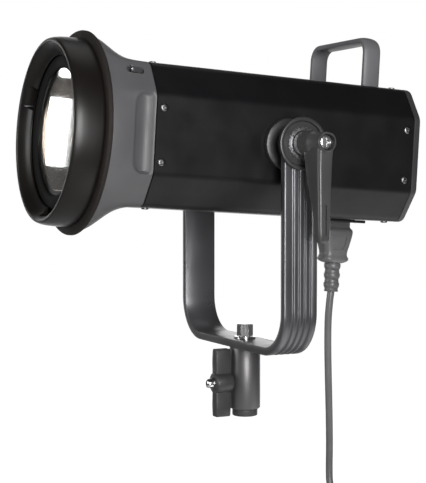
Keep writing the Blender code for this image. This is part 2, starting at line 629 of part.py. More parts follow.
def make_pivots():
    """Outside the near arm, the cup round the lever's stud; outside the far arm, a bolt and its cap."""
    outer = ARM_X + ARM_THICK + GAP
    centre = (0, 0, PIVOT_Z)
    tube("pivot_cup", [(outer, STUD_HOLE), (outer, PIVOT_R - 0.0010), (outer + 0.0010, PIVOT_R),
                       (outer + 0.0032, PIVOT_R), (outer + 0.0035, PIVOT_R - 0.0008),
                       (outer + 0.0035, PIVOT_R - 0.0028), (outer + 0.0016, PIVOT_R - 0.0032),
                       (outer + 0.0016, STUD_HOLE)], (DARK_GREY, 0.35), "x", centre)
    tube("pivot_cap", [(-outer, STUD_HOLE), (-outer, 0.0150), (-outer - 0.0020, 0.0160),
                       (-outer - 0.0040, 0.0150), (-outer - 0.0040, STUD_HOLE)],
                      (DARK_GREY, 0.4), "x", centre)
    head_in = -outer - 0.0040 - GAP
    bolt = lathe("far_pivot_bolt", [(-0.0560, 0.0038), (head_in, 0.0038), (head_in, 0.0072),
                                    (head_in - 0.0042, 0.0072), (head_in - 0.0050, 0.0062)], BRIGHT, "x",
                 centre)
    hexagon = [(0.0029 * math.cos(math.pi / 3 * k), PIVOT_Z + 0.0029 * math.sin(math.pi / 3 * k))
               for k in range(6)]
    boolean(bolt, prism("hex_cut", hexagon, head_in - 0.006, head_in - 0.0025, CUT, "x"))


def make_lever():
    """The ratchet lever: its stud turns in the trunnion, and its arm lifts off the splines to be reset."""
    outer = ARM_X + ARM_THICK + GAP + 0.0016 + GAP
    centre = (0, 0, PIVOT_Z)
    turn = empty("lever_axis", centre)
    collar = outer + 0.0060
    lathe("clamp_stud", [(0.0600, 0.0036), (0.0610, 0.0040), (outer, 0.0040), (outer, 0.0092),
                         (collar, 0.0092), (collar, 0.0060), (0.1110, 0.0060), (0.1110, 0.0024),
                         (0.1185, 0.0024)], BRIGHT, "x", (0, 0, 0), turn)
    hub = tube("clamp_lever", [(collar + GAP, 0.0063), (collar + GAP, 0.0094), (0.1155, 0.0090),
                               (0.1180, 0.0075), (0.1300, 0.0075), (0.1310, 0.0068), (0.1310, 0.0060),
                               (0.1213, 0.0060), (0.1213, 0.0027), (0.1168, 0.0027), (0.1168, 0.0063)],
               (DARK_GREY, 0.4), "x", (0, 0, 0), turn)
    rings = []
    for drop, low, high, half in [(0.0064, 0.1060, 0.1292, 0.0062), (0.0200, 0.1075, 0.1282, 0.0060),
                                  (0.0300, 0.1100, 0.1280, 0.0057), (0.0400, 0.1130, 0.1278, 0.0054),
                                  (0.0500, 0.1165, 0.1278, 0.0051), (0.0600, 0.1185, 0.1278, 0.0050),
                                  (0.0700, 0.1195, 0.1278, 0.0048), (LEVER_TIP, 0.1206, 0.1266, 0.0036)]:
        middle = ((low + high) / 2, 0)
        section = rectangle(high - low, 2 * half, 0.0022, 2, middle)
        rings.append([Vector((x, y, -drop)) for x, y in section])
    arm = loft("lever_arm", rings, (DARK_GREY, 0.4), turn)
    boolean(hub, arm, "UNION")
    screw = lathe("lever_screw", [(0.1188, 0.0022), (0.1259, 0.0022), (0.1259, 0.0056), (0.1285, 0.0056),
                                  (0.1292, 0.0046)], (STEEL, 0.25, 1.0), "x", (0, 0, 0), turn)
    for k in range(2):
        size = (0.0007, 0.0034) if k else (0.0034, 0.0007)
        cut = block(f"cross_cut_{k}", (0.1272, -size[0], -size[1]), (0.1300, size[0], size[1]), CUT, turn)
        boolean(screw, cut)


# ---------------------------------------------------------------- receiver and knob

def make_receiver():
    """The sleeve that the stand's spigot goes up into, its nylon bush, and the boss under the yoke's bar."""
    top = BAR_UNDER - GAP
    body = tube("stand_receiver", [(0.0058, 0.0099), (0.0058, 0.0116), (0.0068, RECEIVER_R),
                                   (SPIGOT_DEEP, RECEIVER_R), (SPIGOT_DEEP, 0.0099)], (DARK_GREY, 0.35), "z")
    tube("receiver_boss", [(SPIGOT_DEEP + GAP, 0.0044), (SPIGOT_DEEP + GAP, RECEIVER_R),
                           (top - 0.0010, RECEIVER_R), (top, 0.0116), (top, 0.0044)], (DARK_GREY, 0.35), "z")
    bush = tube("spigot_bush", [(0.0, SPIGOT_R), (0.0, BUSH_R - 0.0006), (0.0006, BUSH_R), (0.0055, BUSH_R),
                                (0.0055, 0.0096), (SPIGOT_DEEP, 0.0096), (SPIGOT_DEEP, SPIGOT_R)],
                (CHARCOAL, 0.5), "z")
    for name, piece in (("screw_hole_receiver", body), ("screw_hole_bush", bush)):
        cut = lathe(name, [(-0.0200, 0.0043), (-0.0010, 0.0043)], MOULDED, "y", (0, 0, KNOB_Z))
        boolean(piece, cut)
    tube("bolt_washer", [(PIVOT_Z - YOKE_DROP + GAP, 0.0044), (PIVOT_Z - YOKE_DROP + GAP, 0.0090),
                         (PIVOT_Z - YOKE_DROP + 0.0018, 0.0090), (PIVOT_Z - YOKE_DROP + 0.0018, 0.0044)],
         BRIGHT, "z")
    seat = PIVOT_Z - YOKE_DROP + 0.0018 + GAP
    bolt = lathe("yoke_bolt", [(SPIGOT_DEEP + 0.0020, 0.0039), (seat + 0.0010, 0.0039)], BRIGHT, "z")
    hexagon = [(0.0066 * math.cos(math.pi / 3 * k), 0.0066 * math.sin(math.pi / 3 * k)) for k in range(6)]
    cap = prism("bolt_head", hexagon, seat, seat + 0.0100, BRIGHT, "z")
    boolean(bolt, cap, "UNION")


def make_knob():
    """The T-knob and its screw, which turn together, and the brass shoe that the screw pushes."""
    slide = empty("shoe_slide", (0, 0, KNOB_Z))
    brass = ((0.7, 0.5, 0.2), 0.35, 1.0)
    lathe("clamp_shoe", [(-0.0104, 0.0037), (-0.0080, 0.0037)], brass, "y", (0, 0, 0), slide)
    turn = empty("knob_axis", (0, 0, 0), slide)
    inner = -RECEIVER_R - KNOB_GAP
    lathe("knob_screw", [(-0.0107, 0.0039), (inner - 0.0190, 0.0039), (inner - 0.0215, 0.0030)], BRIGHT, "y",
          (0, 0, 0), turn)
    hub = tube("t_knob", [(inner, 0.0042), (inner, 0.0078), (inner - 0.0015, 0.0086),
                          (inner - 0.0135, 0.0086), (inner - 0.0150, 0.0078), (inner - 0.0150, 0.0042)],
               (DARK_GREY, 0.5), "y", (0, 0, 0), turn)
    half = KNOB_HALF_TALL
    wing = [(-half, -0.0036), (-half, 0.0036), (-0.0160, 0.0044), (-0.0080, 0.0040), (0.0080, 0.0040),
            (0.0160, 0.0044), (half, 0.0036), (half, -0.0036), (0.0160, -0.0044), (0.0080, -0.0040),
            (-0.0080, -0.0040), (-0.0160, -0.0044)]
    blade = prism("knob_wing", wing, inner - 0.0142, inner - 0.0012, (DARK_GREY, 0.5), "y", turn)
    boolean(hub, blade, "UNION")
    bore = [(inner - 0.02, 0.0042), (inner + 0.005, 0.0042)]
    boolean(hub, lathe("knob_bore_cut", bore, CUT, "y", (0, 0, 0), turn))


# ---------------------------------------------------------------- mains lead

def smooth_route(points, spacing):
    """Points along a smooth curve through the route's own points, about spacing apart."""
    ends = [2 * points[0] - points[1], *points, 2 * points[-1] - points[-2]]
    fine = []
    for i in range(1, len(ends) - 2):
        a, b, c, d = ends[i - 1:i + 3]
        for k in range(20):
            t = k / 20
            fine.append(0.5 * (2 * b + (c - a) * t + (2 * a - 5 * b + 4 * c - d) * t * t
                               + (3 * b - a - 3 * c + d) * t ** 3))
    fine.append(points[-1])
    kept, run = [fine[0]], 0.0
    for before, after in zip(fine, fine[1:]):
        run += (after - before).length
        if run >= spacing:
            kept.append(after)
            run = 0.0
    if (kept[-1] - fine[-1]).length > spacing / 3:
        kept.append(fine[-1])
    else:
        kept[-1] = fine[-1]
    return kept


def make_tube(name, points):
    curve = bpy.data.curves.new(name, "CURVE")
    curve.dimensions = "3D"
    curve.bevel_depth = CORD_R
    curve.bevel_resolution = 2
    curve.use_fill_caps = True
    curve.resolution_u = 1
    curve.render_resolution_u = 0
    line = curve.splines.new("POLY")
    line.points.add(len(points) - 1)
    for spot, place in zip(line.points, points):
        spot.co = (*place, 1.0)
    made = bpy.data.objects.new(name, curve)
    bpy.context.collection.objects.link(made)
    curve.materials.append(material(name, DARK_GREY, 0.6))


def relief_end():
    """Where the lead leaves its strain relief, with the head at its resting tilt."""
    level = Vector((0, -INLET_AT, PLUG_END - GAP))
    return Vector((0, 0, PIVOT_Z)) + Matrix.Rotation(-REST_TILT, 3, "X") @ level


def make_lead():
    """What hangs from the connector, the coil that takes up the rest, and the tail down to its plug."""
    route = [relief_end()] + [Vector(p) * MM for p in CORD_ROUTE]
    make_tube("mains_cord", smooth_route(route, 0.013))
    outer = COIL_R + COIL_STEP * (COIL_LAYERS - 1) / 2 + CORD_R
    inner = COIL_R - COIL_STEP * (COIL_LAYERS - 1) / 2 - CORD_R
    half = COIL_STEP * (COIL_COLUMNS - 1) / 2 + CORD_R
    bevel = 0.0020
    tube("cord_coil", [(-half, inner + bevel), (-half, outer - bevel), (-half + bevel, outer),
                       (half - bevel, outer), (half, outer - bevel), (half, inner + bevel),
                       (half - bevel, inner), (-half + bevel, inner)], CABLE, "y", COIL_MIDDLE)
    tail_x = COIL_MIDDLE.x + COIL_R + COIL_STEP
    tail_y = COIL_MIDDLE.y - half + CORD_R
    make_tube("cord_tail", [Vector((tail_x, tail_y, COIL_MIDDLE.z - TAIL_TOP - (TAIL_END - TAIL_TOP) * k / 2))
                            for k in range(3)])
    make_tie(outer, inner, half)
    make_mains_plug(Vector((tail_x, tail_y, COIL_MIDDLE.z - TAIL_END - GAP)))


def make_tie(outer, inner, half):
    """A hook-and-loop strap round all the turns, at TIE_ANGLE up the coil's side."""
    turn = empty("tie_place", COIL_MIDDLE, turn=(0, -TIE_ANGLE, 0))
    room, wall, half_long = 0.0006, 0.0014, 0.0070
    low = math.sqrt(inner ** 2 - half_long ** 2) - room
    high = outer + room
    deep = 2 * (half + room)
    outer_loop = rectangle(high - low + 2 * wall, deep + 2 * wall, 0.0036, 2)
    inner_loop = rectangle(high - low, deep, 0.0022, 2)
    rings = []
    for end, loop in ((-1, outer_loop), (1, outer_loop), (1, inner_loop), (-1, inner_loop)):
        rings.append([Vector(((high + low) / 2 + p, q, end * half_long)) for p, q in loop])
    loft("cord_tie", rings, (BLACK, 0.9), turn, closed=True)


def make_mains_plug(top):
    """A round two-pin plug with earth contacts at its sides, hanging on the end of the lead."""
    body = lathe("mains_plug", [(0.0, 0.0050), (-0.0240, 0.0078), (-0.0300, 0.0150), (-0.0360, 0.0182),
                                (-0.0600, 0.0185), (-0.0612, 0.0175)], (DARK_GREY, 0.55), "z", top)
    for side in (-1, 1):
        pin = lathe(f"plug_pin_{side}", [(-0.0600, 0.0024), (-0.0795, 0.0024), (-0.0802, 0.0016)], BRIGHT,
                    "z", top + Vector((side * 0.0095, 0, 0)))
        boolean(body, pin, "UNION")


def main():
    clear_scene()
    make_head()
    make_yoke()
    make_pivots()
    make_lever()
    make_receiver()
    make_knob()
    make_lead()


main()
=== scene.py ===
"""The looks of the studio monolight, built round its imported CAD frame. Metres, +Z up, the CAD's own frame."""

from math import copysign, cos, hypot, pi, radians, sin, sqrt, tan, tau

import bpy  # noqa: E402
import bmesh  # noqa: E402
from mathutils import Matrix, Vector  # noqa: E402


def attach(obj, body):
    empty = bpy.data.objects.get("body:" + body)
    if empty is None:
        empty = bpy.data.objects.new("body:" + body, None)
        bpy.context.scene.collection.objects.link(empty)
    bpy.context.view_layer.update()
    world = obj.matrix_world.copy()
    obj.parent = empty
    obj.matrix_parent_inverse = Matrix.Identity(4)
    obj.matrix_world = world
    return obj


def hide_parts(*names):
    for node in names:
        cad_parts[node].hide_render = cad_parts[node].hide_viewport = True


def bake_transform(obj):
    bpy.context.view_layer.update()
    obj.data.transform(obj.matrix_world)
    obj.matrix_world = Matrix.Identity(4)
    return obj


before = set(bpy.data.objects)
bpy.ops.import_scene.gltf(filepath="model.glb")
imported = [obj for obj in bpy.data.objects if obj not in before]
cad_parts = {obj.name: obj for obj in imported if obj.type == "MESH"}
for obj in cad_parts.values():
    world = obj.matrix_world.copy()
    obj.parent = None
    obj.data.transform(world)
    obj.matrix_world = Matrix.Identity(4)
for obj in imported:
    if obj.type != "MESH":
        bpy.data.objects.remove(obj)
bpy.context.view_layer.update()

MM = 0.001
MICRON = 0.000001


def mm(*rows):
    """Rows of sizes given in millimetres."""
    return [tuple(size * MM for size in row) for row in rows]


def measured(base, *rows, way=1):
    """Rows of two sizes in millimetres, the first counted from base, which is in metres."""
    return [(base + way * along * MM, radius * MM) for along, radius in rows]


# Sizes that the CAD has too: the tilt axis, the head's tube, the mount, the yoke, the receiver and the lead.
PIVOT_Z = 0.219
REST_TILT = radians(3.4)
HEAD = Matrix.Translation((0, 0, PIVOT_Z)) @ Matrix.Rotation(-REST_TILT, 4, "X")
AT_PIVOT = Matrix.Translation((0, 0, PIVOT_Z))
WORLD = Matrix.Identity(4)

BODY_HALF_WIDE = 0.07
BODY_HALF_HIGH = 0.054
TOP_FLAT_HALF = 0.053
SIDE_FLAT_HALF = 0.0295
BODY_CORNER = 0.01
BODY_WALL = 0.0025
BODY_FRONT = 0.109
BODY_REAR = -0.1157
CAP_REAR = -0.122
BELL_FRONT = 0.1445
GLASS_R = 0.0492
PIN_ANGLE = radians(52)
NOTCH_ANGLES = (-62, 58, 178)
INLET_AT = -0.0885
ARM_X = 0.086
ARM_THICK = 0.0065
YOKE_WIDE = 0.0284
YOKE_DROP = 0.1559
YOKE_CORNER = 0.035
KNOB_Z = 0.028
RECEIVER_R = 0.0126
HANDLE_AT = -0.089
HANDLE_LEG_X = 0.0424
HANDLE_THICK = 0.0048
HANDLE_TOP = 0.095
HANDLE_WIDE = 0.0158

CORD_D = 0.0063
PLUG_END = -0.1155
COIL_MIDDLE = Vector((-0.025, 0.0865, -0.133))
COIL_R = 0.036
COIL_STEP = 0.0064
COIL_COLUMNS = 4
COIL_LAYERS = 3
COIL_JOIN = radians(50)
TIE_ANGLE = radians(38)
TAIL_END = 0.048
CORD_ROUTE = [(-0.5, 80.6, 90.0), (-2.5, 80.4, 74.0), (-6.0, 82.3, 50.0), (-11.0, 86.0, 20.0),
              (-17.5, 90.8, -12.0), (-23.2, 94.6, -38.0), (-25.8, 96.0, -56.0), (-25.3, 96.1, -70.0),
              (-22.0, 96.1, -78.8), (-16.8, 96.1, -84.6)]

# ---- camera

AZIMUTH = radians(64.3)
CAMERA_RIGHT = Vector((cos(AZIMUTH), sin(AZIMUTH), 0))
CAMERA_AHEAD = Vector((-sin(AZIMUTH), cos(AZIMUTH), 0))
CAMERA_PITCH = radians(2.5)
CAMERA_LENS = 95.3
CAMERA_SENSOR = 36
CAMERA_RANGE = (0.01, 50)
CAMERA_FROM_PIVOT = (0.0261, 0.0313, 1.0415)


def linked(name, data):
    made = bpy.data.objects.new(name, data)
    bpy.context.collection.objects.link(made)
    return made


def make_camera():
    data = bpy.data.cameras.new("camera")
    data.lens = CAMERA_LENS
    data.sensor_width = CAMERA_SENSOR
    data.clip_start, data.clip_end = CAMERA_RANGE
    camera = linked("camera", data)
    across, up, ahead = CAMERA_FROM_PIVOT
    pivot = Vector((0, 0, PIVOT_Z))
    camera.location = pivot - across * CAMERA_RIGHT - Vector((0, 0, up)) - ahead * CAMERA_AHEAD
    camera.rotation_euler = (pi / 2 - CAMERA_PITCH, 0, AZIMUTH)
    bpy.context.scene.camera = camera


# ---- materials

def put(node, values):
    """Sets a node's inputs by name."""
    for name, value in values.items():
        node.inputs[name].default_value = value


def new_material(name, colour, roughness, metallic=0.0):
    made = bpy.data.materials.new(name)
    made.use_nodes = True
    shader = made.node_tree.nodes["Principled BSDF"]
    put(shader, {"Base Color": (*colour, 1.0), "Roughness": roughness, "Metallic": metallic})
    return made, made.node_tree, shader


def object_place(tree):
    return tree.nodes.new("ShaderNodeTexCoord").outputs["Object"]


def noise(tree, scale, detail=2.0):
    """A noise value over the object's own coordinates."""
    node = tree.nodes.new("ShaderNodeTexNoise")
    put(node, {"Scale": scale, "Detail": detail})
    tree.links.new(object_place(tree), node.inputs["Vector"])
    return node.outputs["Fac"]


def spread(tree, value, low, high):
    """The value, which lies about 0.5, drawn out between low and high."""
    node = tree.nodes.new("ShaderNodeMapRange")
    put(node, {"From Min": 0.3, "From Max": 0.7, "To Min": low, "To Max": high})
    tree.links.new(value, node.inputs["Value"])
    return node.outputs["Result"]


def tint(tree, value, dark, light):
    node = tree.nodes.new("ShaderNodeMix")
    node.data_type = "RGBA"
    tree.links.new(value, node.inputs["Factor"])
    put(node, {"A": (*dark, 1.0), "B": (*light, 1.0)})
    return node.outputs["Result"]


def bump(tree, shader, height, strength, distance):
    node = tree.nodes.new("ShaderNodeBump")
    put(node, {"Strength": strength, "Distance": distance})
    tree.links.new(height, node.inputs["Height"])
    tree.links.new(node.outputs["Normal"], shader.inputs["Normal"])


def coated(name, colour, roughness, grain, depth, spread_by=0.06, metallic=0.0, shade=0.2, specular=0.5):
    """Powder coat, paint or moulded plastic: a fine grain, its depth in micrometres, and slow changes of tone
    and gloss."""
    made, tree, shader = new_material(name, colour, roughness, metallic)
    put(shader, {"Specular IOR Level": specular})
    slow = noise(tree, 14.0, 3.0)
    light = tuple(min(1.0, c * (1 + shade)) for c in colour)
    dark = tuple(c * (1 - shade) for c in colour)
    tree.links.new(tint(tree, spread(tree, slow, 0.0, 1.0), dark, light), shader.inputs["Base Color"])
    tree.links.new(spread(tree, noise(tree, 45.0, 3.0), roughness - spread_by, roughness + spread_by),
                   shader.inputs["Roughness"])
    bump(tree, shader, noise(tree, grain), 0.6, depth * MICRON)
    return made


def metal(name, colour, roughness):
    """Bare or plated metal, with fine machining marks."""
    made, tree, shader = new_material(name, colour, roughness, 1.0)
    marks = noise(tree, 700.0)
    tree.links.new(spread(tree, marks, roughness * 0.7, roughness * 1.4), shader.inputs["Roughness"])
    bump(tree, shader, marks, 0.4, 0.00001)
    return made


def clear_glass(name):
    made, _, shader = new_material(name, (0.93, 0.95, 0.94), 0.03)
    put(shader, {"Transmission Weight": 1.0, "IOR": 1.5})
    return made


def woven(name, colour):
    """Hook-and-loop webbing: a fine weave and a fuzzy sheen."""
    made, tree, shader = new_material(name, colour, 0.9)
    put(shader, {"Sheen Weight": 0.4})
    wave = tree.nodes.new("ShaderNodeTexWave")
    put(wave, {"Scale": 420.0, "Distortion": 1.5})
    tree.links.new(object_place(tree), wave.inputs["Vector"])
    bump(tree, shader, wave.outputs["Fac"], 0.8, 0.0003)
    return made


def phosphor(name):
    """The LED's yellow phosphor, lit."""
    made, tree, shader = new_material(name, (0.85, 0.55, 0.1), 0.45)
    put(shader, {"Emission Color": (1.0, 0.72, 0.42, 1.0), "Emission Strength": 9.0})
    bump(tree, shader, noise(tree, 900.0), 0.3, 0.0001)
    return made


def make_materials():
    return {
        "tube": coated("tube_powder_coat", (0.004, 0.0037, 0.0044), 0.4, 1500, 60, specular=0.28),
        "bell": coated("bell_moulded", (0.08, 0.078, 0.082), 0.5, 1900, 50),
        "ring": coated("ring_enamel", (0.006, 0.0046, 0.0038), 0.36, 1200, 10, 0.03, specular=0.35),
        "throat": coated("throat_black", (0.004, 0.0036, 0.0033), 0.7, 1500, 40, specular=0.2),
        "cap": coated("cap_moulded", (0.034, 0.033, 0.034), 0.45, 1700, 60),
        "pivot": coated("pivot_coat", (0.024, 0.024, 0.025), 0.4, 1600, 30),
        "anodised": coated("yoke_anodised", (0.105, 0.104, 0.11), 0.32, 1600, 4, 0.05, 0.6),
        "handle": coated("handle_coat", (0.122, 0.122, 0.128), 0.5, 1600, 30, 0.05, 0.2, specular=0.25),
        "receiver": coated("receiver_coat", (0.135, 0.131, 0.134), 0.42, 1400, 4, 0.05, 0.75),
        "knob": coated("knob_moulded", (0.026, 0.026, 0.027), 0.42, 1500, 60),
        "lever": coated("lever_moulded", (0.045, 0.044, 0.045), 0.3, 1500, 50),
        "moulded": coated("moulded_black", (0.012, 0.012, 0.0125), 0.45, 1500, 60),
        "rubber": coated("lead_rubber", (0.105, 0.105, 0.108), 0.38, 1300, 40),
        "bush": coated("bush_nylon", (0.035, 0.035, 0.036), 0.5, 1300, 40),
        "button": coated("button_rubber", (0.06, 0.06, 0.064), 0.6, 1500, 50),
        "fibre": coated("pressed_fibre", (0.02, 0.019, 0.018), 0.9, 900, 200),
        "chrome": metal("chrome_plate", (0.8, 0.8, 0.81), 0.18),
        "steel": metal("turned_steel", (0.55, 0.55, 0.56), 0.28),
        "aluminium": metal("plain_aluminium", (0.75, 0.75, 0.76), 0.35),
        "mirror": metal("reflector_mirror", (0.36, 0.29, 0.24), 0.22),
        "brass": metal("shoe_brass", (0.7, 0.47, 0.18), 0.3),
        "glass": clear_glass("front_glass"),
        "board": coated("board_mask", (0.01, 0.07, 0.03), 0.35, 900, 20),
        "ceramic": coated("led_ceramic", (0.7, 0.7, 0.67), 0.5, 900, 20, shade=0.05),
        "display": coated("display_cover", (0.006, 0.007, 0.009), 0.12, 60, 10, 0.02),
        "flange": coated("flange_enamel", (0.016, 0.013, 0.0115), 0.7, 1200, 20, specular=0.2),
        "dark_screw": metal("blackened_steel", (0.2, 0.2, 0.205), 0.35),
        "marks": coated("display_mark_grey", (0.3, 0.33, 0.34), 0.4, 400, 10),
        "tie": woven("tie_webbing", (0.01, 0.01, 0.01)),
        "phosphor": phosphor("led_phosphor"),
    }


LOOKS = make_materials()

# The CAD nodes whose own shape stays in view, by look.
CAD_LOOKS = {
    "ceramic": ("cob_carrier",), "aluminium": ("heat_sink",), "brass": ("clamp_shoe",),
    "board": ("driver_board", "control_board"), "fibre": ("friction_washer_near", "friction_washer_far"),
    "moulded": ("fan_frame", "fan_rotor", "rocker_housing", "power_rocker"),
    "steel": ("handle_screw_near", "handle_screw_far", "lock_pin"),
}


def paint_cad():
    for look, nodes in CAD_LOOKS.items():
        for node in nodes:
            mesh_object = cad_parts[node]
            if not mesh_object.material_slots:
                mesh_object.data.materials.append(LOOKS[look])
            mesh_object.material_slots[0].material = LOOKS[look]


# ---- mesh tools

def closed_mesh(name, points, faces):
    mesh = bpy.data.meshes.new(name)
    mesh.from_pydata([tuple(p) for p in points], [], faces)
    work = bmesh.new()
    work.from_mesh(mesh)
    bmesh.ops.recalc_face_normals(work, faces=work.faces)
    work.to_mesh(mesh)
    work.free()
    return mesh


def piece(name, points, faces, look, body, replaced=(), place=WORLD, smooth=35, slot=None):
    mesh = closed_mesh(name, points, faces)
    mesh.shade_smooth()
    mesh.set_sharp_from_angle(angle=radians(smooth))
    mesh.materials.append(LOOKS[look])
    made = linked(name, mesh)
    made.matrix_world = place
    if body:
        bpy.context.view_layer.update()
        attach(made, body)
    if replaced:
        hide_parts(*replaced)
    return made


def head_piece(name, shape, look, node, smooth=35):
    """A piece that rides on the head, in place of one CAD node."""
    return piece(name, *shape, look, "head", (node,), HEAD, smooth)


def skin(rings, closed=False):
    """Points and faces over rings of as many points each; ends capped unless closed."""
    count = len(rings[0])
    points = [p for ring in rings for p in ring]
    faces = []
    for k in range(len(rings) if closed else len(rings) - 1):
        a, b = k * count, (k + 1) % len(rings) * count
        faces += [(a + i, a + (i + 1) % count, b + (i + 1) % count, b + i) for i in range(count)]
    if not closed:
        faces += [tuple(range(count))[::-1], tuple(range(len(points) - count, len(points)))]
    return points, faces


AXES = {"x": (0, 1, 2), "y": (1, 2, 0), "z": (2, 0, 1)}


def on_axis(axis, along, p, q):
    a, b, c = AXES[axis]
    point = [0.0, 0.0, 0.0]
    point[a], point[b], point[c] = along, p, q
    return Vector(point)


def rounded(corners, radius, steps=4):
    """An outline with its corners rounded; radius is one number, or one for each corner."""
    made, last = [], len(corners)
    for i, corner in enumerate(corners):
        size = radius[i] if isinstance(radius, (list, tuple)) else radius
        here = Vector(corner)
        if size <= 0:
            made.append(tuple(here))
            continue
        before, after = Vector(corners[i - 1]) - here, Vector(corners[(i + 1) % last]) - here
        half = before.angle(after) / 2
        size = min(size, 0.45 * min(before.length, after.length) * tan(half))
        before.normalize()
        after.normalize()
        back = size / tan(half)
        middle = here + (before + after).normalized() * (size / sin(half))
        start, end = here + before * back - middle, here + after * back - middle
        sweep = start.angle_signed(end)
        for k in range(steps + 1):
            made.append(tuple(middle + Matrix.Rotation(-sweep * k / steps, 2) @ start))
    return made


def turned(profile, axis="y", sides=96, middle=(0, 0, 0), bored=False):
    """Points and faces of a turned piece from (along, radius) points, top to bottom or a closed wall."""
    centre = Vector(middle)
    angles = [tau * i / sides for i in range(sides)]
    rings = [[centre + on_axis(axis, along, radius * cos(t), radius * sin(t)) for t in angles]
             for along, radius in profile]
    return skin(rings, closed=bored)


def hexagon(radius, middle=0.0):
    """A hexagon's corners, its middle on the second axis at middle."""
    turns = [pi / 3 * k for k in range(6)]
    return [(radius * cos(t), middle + radius * sin(t)) for t in turns]


def rectangle(wide, high, radius, steps=4, middle=(0, 0)):
    a, b = wide / 2, high / 2
    corners = [(middle[0] + x, middle[1] + y) for x, y in ((-a, -b), (a, -b), (a, b), (-a, b))]
    return rounded(corners, radius, steps)


def drawn(outline, low, high, axis="y", edge=0.0, steps=3):
    """Points and faces of an outline drawn along axis, its two end edges rounded by about edge."""
    levels = [(low, edge), (high, edge)] if not edge else []
    if edge:
        for k in range(steps + 1):
            t = pi / 2 * k / steps
            levels.append((low + edge * (1 - sin(t)), edge * (1 - cos(t))))
        levels = levels[::-1]
        levels += [(low + high - along, inset) for along, inset in levels[::-1]]
    rings = []
    for along, inset in levels:
        ring = inset_outline(outline, inset) if inset else [tuple(p) for p in outline]
        rings.append([on_axis(axis, along, p, q) for p, q in ring])
    return skin(rings)


def inset_outline(outline, by):
    """The outline moved inwards by a distance, point by point."""
    area = sum(a[0] * b[1] - b[0] * a[1] for a, b in zip(outline, outline[1:] + outline[:1]))
    side = 1 if area > 0 else -1
    moved = []
    for i, corner in enumerate(outline):
        before = Vector(corner) - Vector(outline[i - 1])
        after = Vector(outline[(i + 1) % len(outline)]) - Vector(corner)
        if before.length < 1e-9 or after.length < 1e-9:
            moved.append(tuple(corner))
            continue
        before.normalize()
        after.normalize()
        normal = Vector((-before.y - after.y, before.x + after.x)) * side
        normal.normalize()
        cosine = max(0.3, normal.dot(Vector((-before.y, before.x)) * side))
        moved.append(tuple(Vector(corner) + normal * by / cosine))
    return moved


def cut(target, points, faces, place=None, operation="DIFFERENCE"):
    """Applies a boolean with a throwaway tool."""
    mesh = closed_mesh("tool", points, faces)
    tool = linked("tool", mesh)
    tool.matrix_world = target.matrix_world if place is None else place
    bpy.context.view_layer.update()
    step = target.modifiers.new("cut", "BOOLEAN")
    step.operation = operation
    step.object = tool
    step.solver = "EXACT"
    apply_modifiers(target)
    bpy.data.objects.remove(tool, do_unlink=True)
    bpy.data.meshes.remove(mesh)


def drill(target, axis, low, high, radius, sides=32, middle=(0, 0, 0), place=None):
    """Cuts a round hole along axis."""
    cut(target, *turned([(low, radius), (high, radius)], axis, sides, middle), place=place)


def apply_modifiers(target):
    bpy.context.view_layer.update()
    evaluated = target.evaluated_get(bpy.context.evaluated_depsgraph_get())
    baked = bpy.data.meshes.new_from_object(evaluated)
    target.modifiers.clear()
    old = target.data
    target.data = baked
    bpy.data.meshes.remove(old)


def clean(target):
    """Merges the slivers that booleans leave, and splits faces of more than four sides into triangles."""
    work = bmesh.new()
    work.from_mesh(target.data)
    bmesh.ops.dissolve_degenerate(work, dist=0.00005, edges=work.edges)
    bmesh.ops.triangulate(work, faces=[f for f in work.faces if len(f.verts) > 4])
    work.to_mesh(target.data)
    work.free()


def sharpen(target, angle=35):
    target.data.shade_smooth()
    target.data.set_sharp_from_angle(angle=radians(angle))


def soften(target, width, segments=2, angle=35):
    """Small rounded edges on whatever is sharper than the angle."""
    step = target.modifiers.new("soft_edges", "BEVEL")
    step.width = width
    step.segments = segments
    step.limit_method = "ANGLE"
    step.angle_limit = radians(angle)
    apply_modifiers(target)
    sharpen(target, 45)


def box_mesh(low, high):
    outline = [(low[1], low[2]), (high[1], low[2]), (high[1], high[2]), (low[1], high[2])]
    return skin([[on_axis("x", x, p, q) for p, q in outline] for x in (low[0], high[0])])


# ---- the head's shell

def smoothstep(value):
    value = min(1.0, max(0.0, value))
    return value * value * (3 - 2 * value)


def octagon(shrink=0.0):
    """The tube's cross-section as (z, x) points, drawn in all round by shrink."""
    slope = hypot(BODY_HALF_WIDE - TOP_FLAT_HALF, BODY_HALF_HIGH - SIDE_FLAT_HALF)
    wide, high = BODY_HALF_WIDE - shrink, BODY_HALF_HIGH - shrink
    side_step = (slope - (BODY_HALF_HIGH - SIDE_FLAT_HALF)) / (BODY_HALF_WIDE - TOP_FLAT_HALF)
    top_step = (slope - (BODY_HALF_WIDE - TOP_FLAT_HALF)) / (BODY_HALF_HIGH - SIDE_FLAT_HALF)
    top, side = TOP_FLAT_HALF - shrink * top_step, SIDE_FLAT_HALF - shrink * side_step
    corners = [(high, top), (side, wide), (-side, wide), (-high, top),
               (-high, -top), (-side, -wide), (side, -wide), (high, -top)]
    return rounded(corners, max(0.001, BODY_CORNER - shrink), 8)


def along_head(outline, s):
    return [Vector((x, -s, z)) for z, x in outline]


def octagon_radius(angle, outline):
    """How far the outline is from its middle in a direction."""
    ray = Vector((cos(angle), sin(angle)))
    best = 0.0
    for i, corner in enumerate(outline):
        a, b = Vector(outline[i - 1]), Vector(corner)
        edge = b - a
        across = ray.cross(edge)
        if abs(across) < 1e-12:
            continue
        along, share = a.cross(edge) / across, a.cross(ray) / across
        if along > 0 and -1e-6 <= share <= 1 + 1e-6:
            best = max(best, along)
    return best


# The shell's screws: along the head, and where they sit on its side flats, and on its top and bottom.
SCREWS_ALONG = (0.1032, -0.1092)
SCREWS_HIGH = (0.0195, -0.0205)
SCREWS_ACROSS = (-0.043, 0.043)


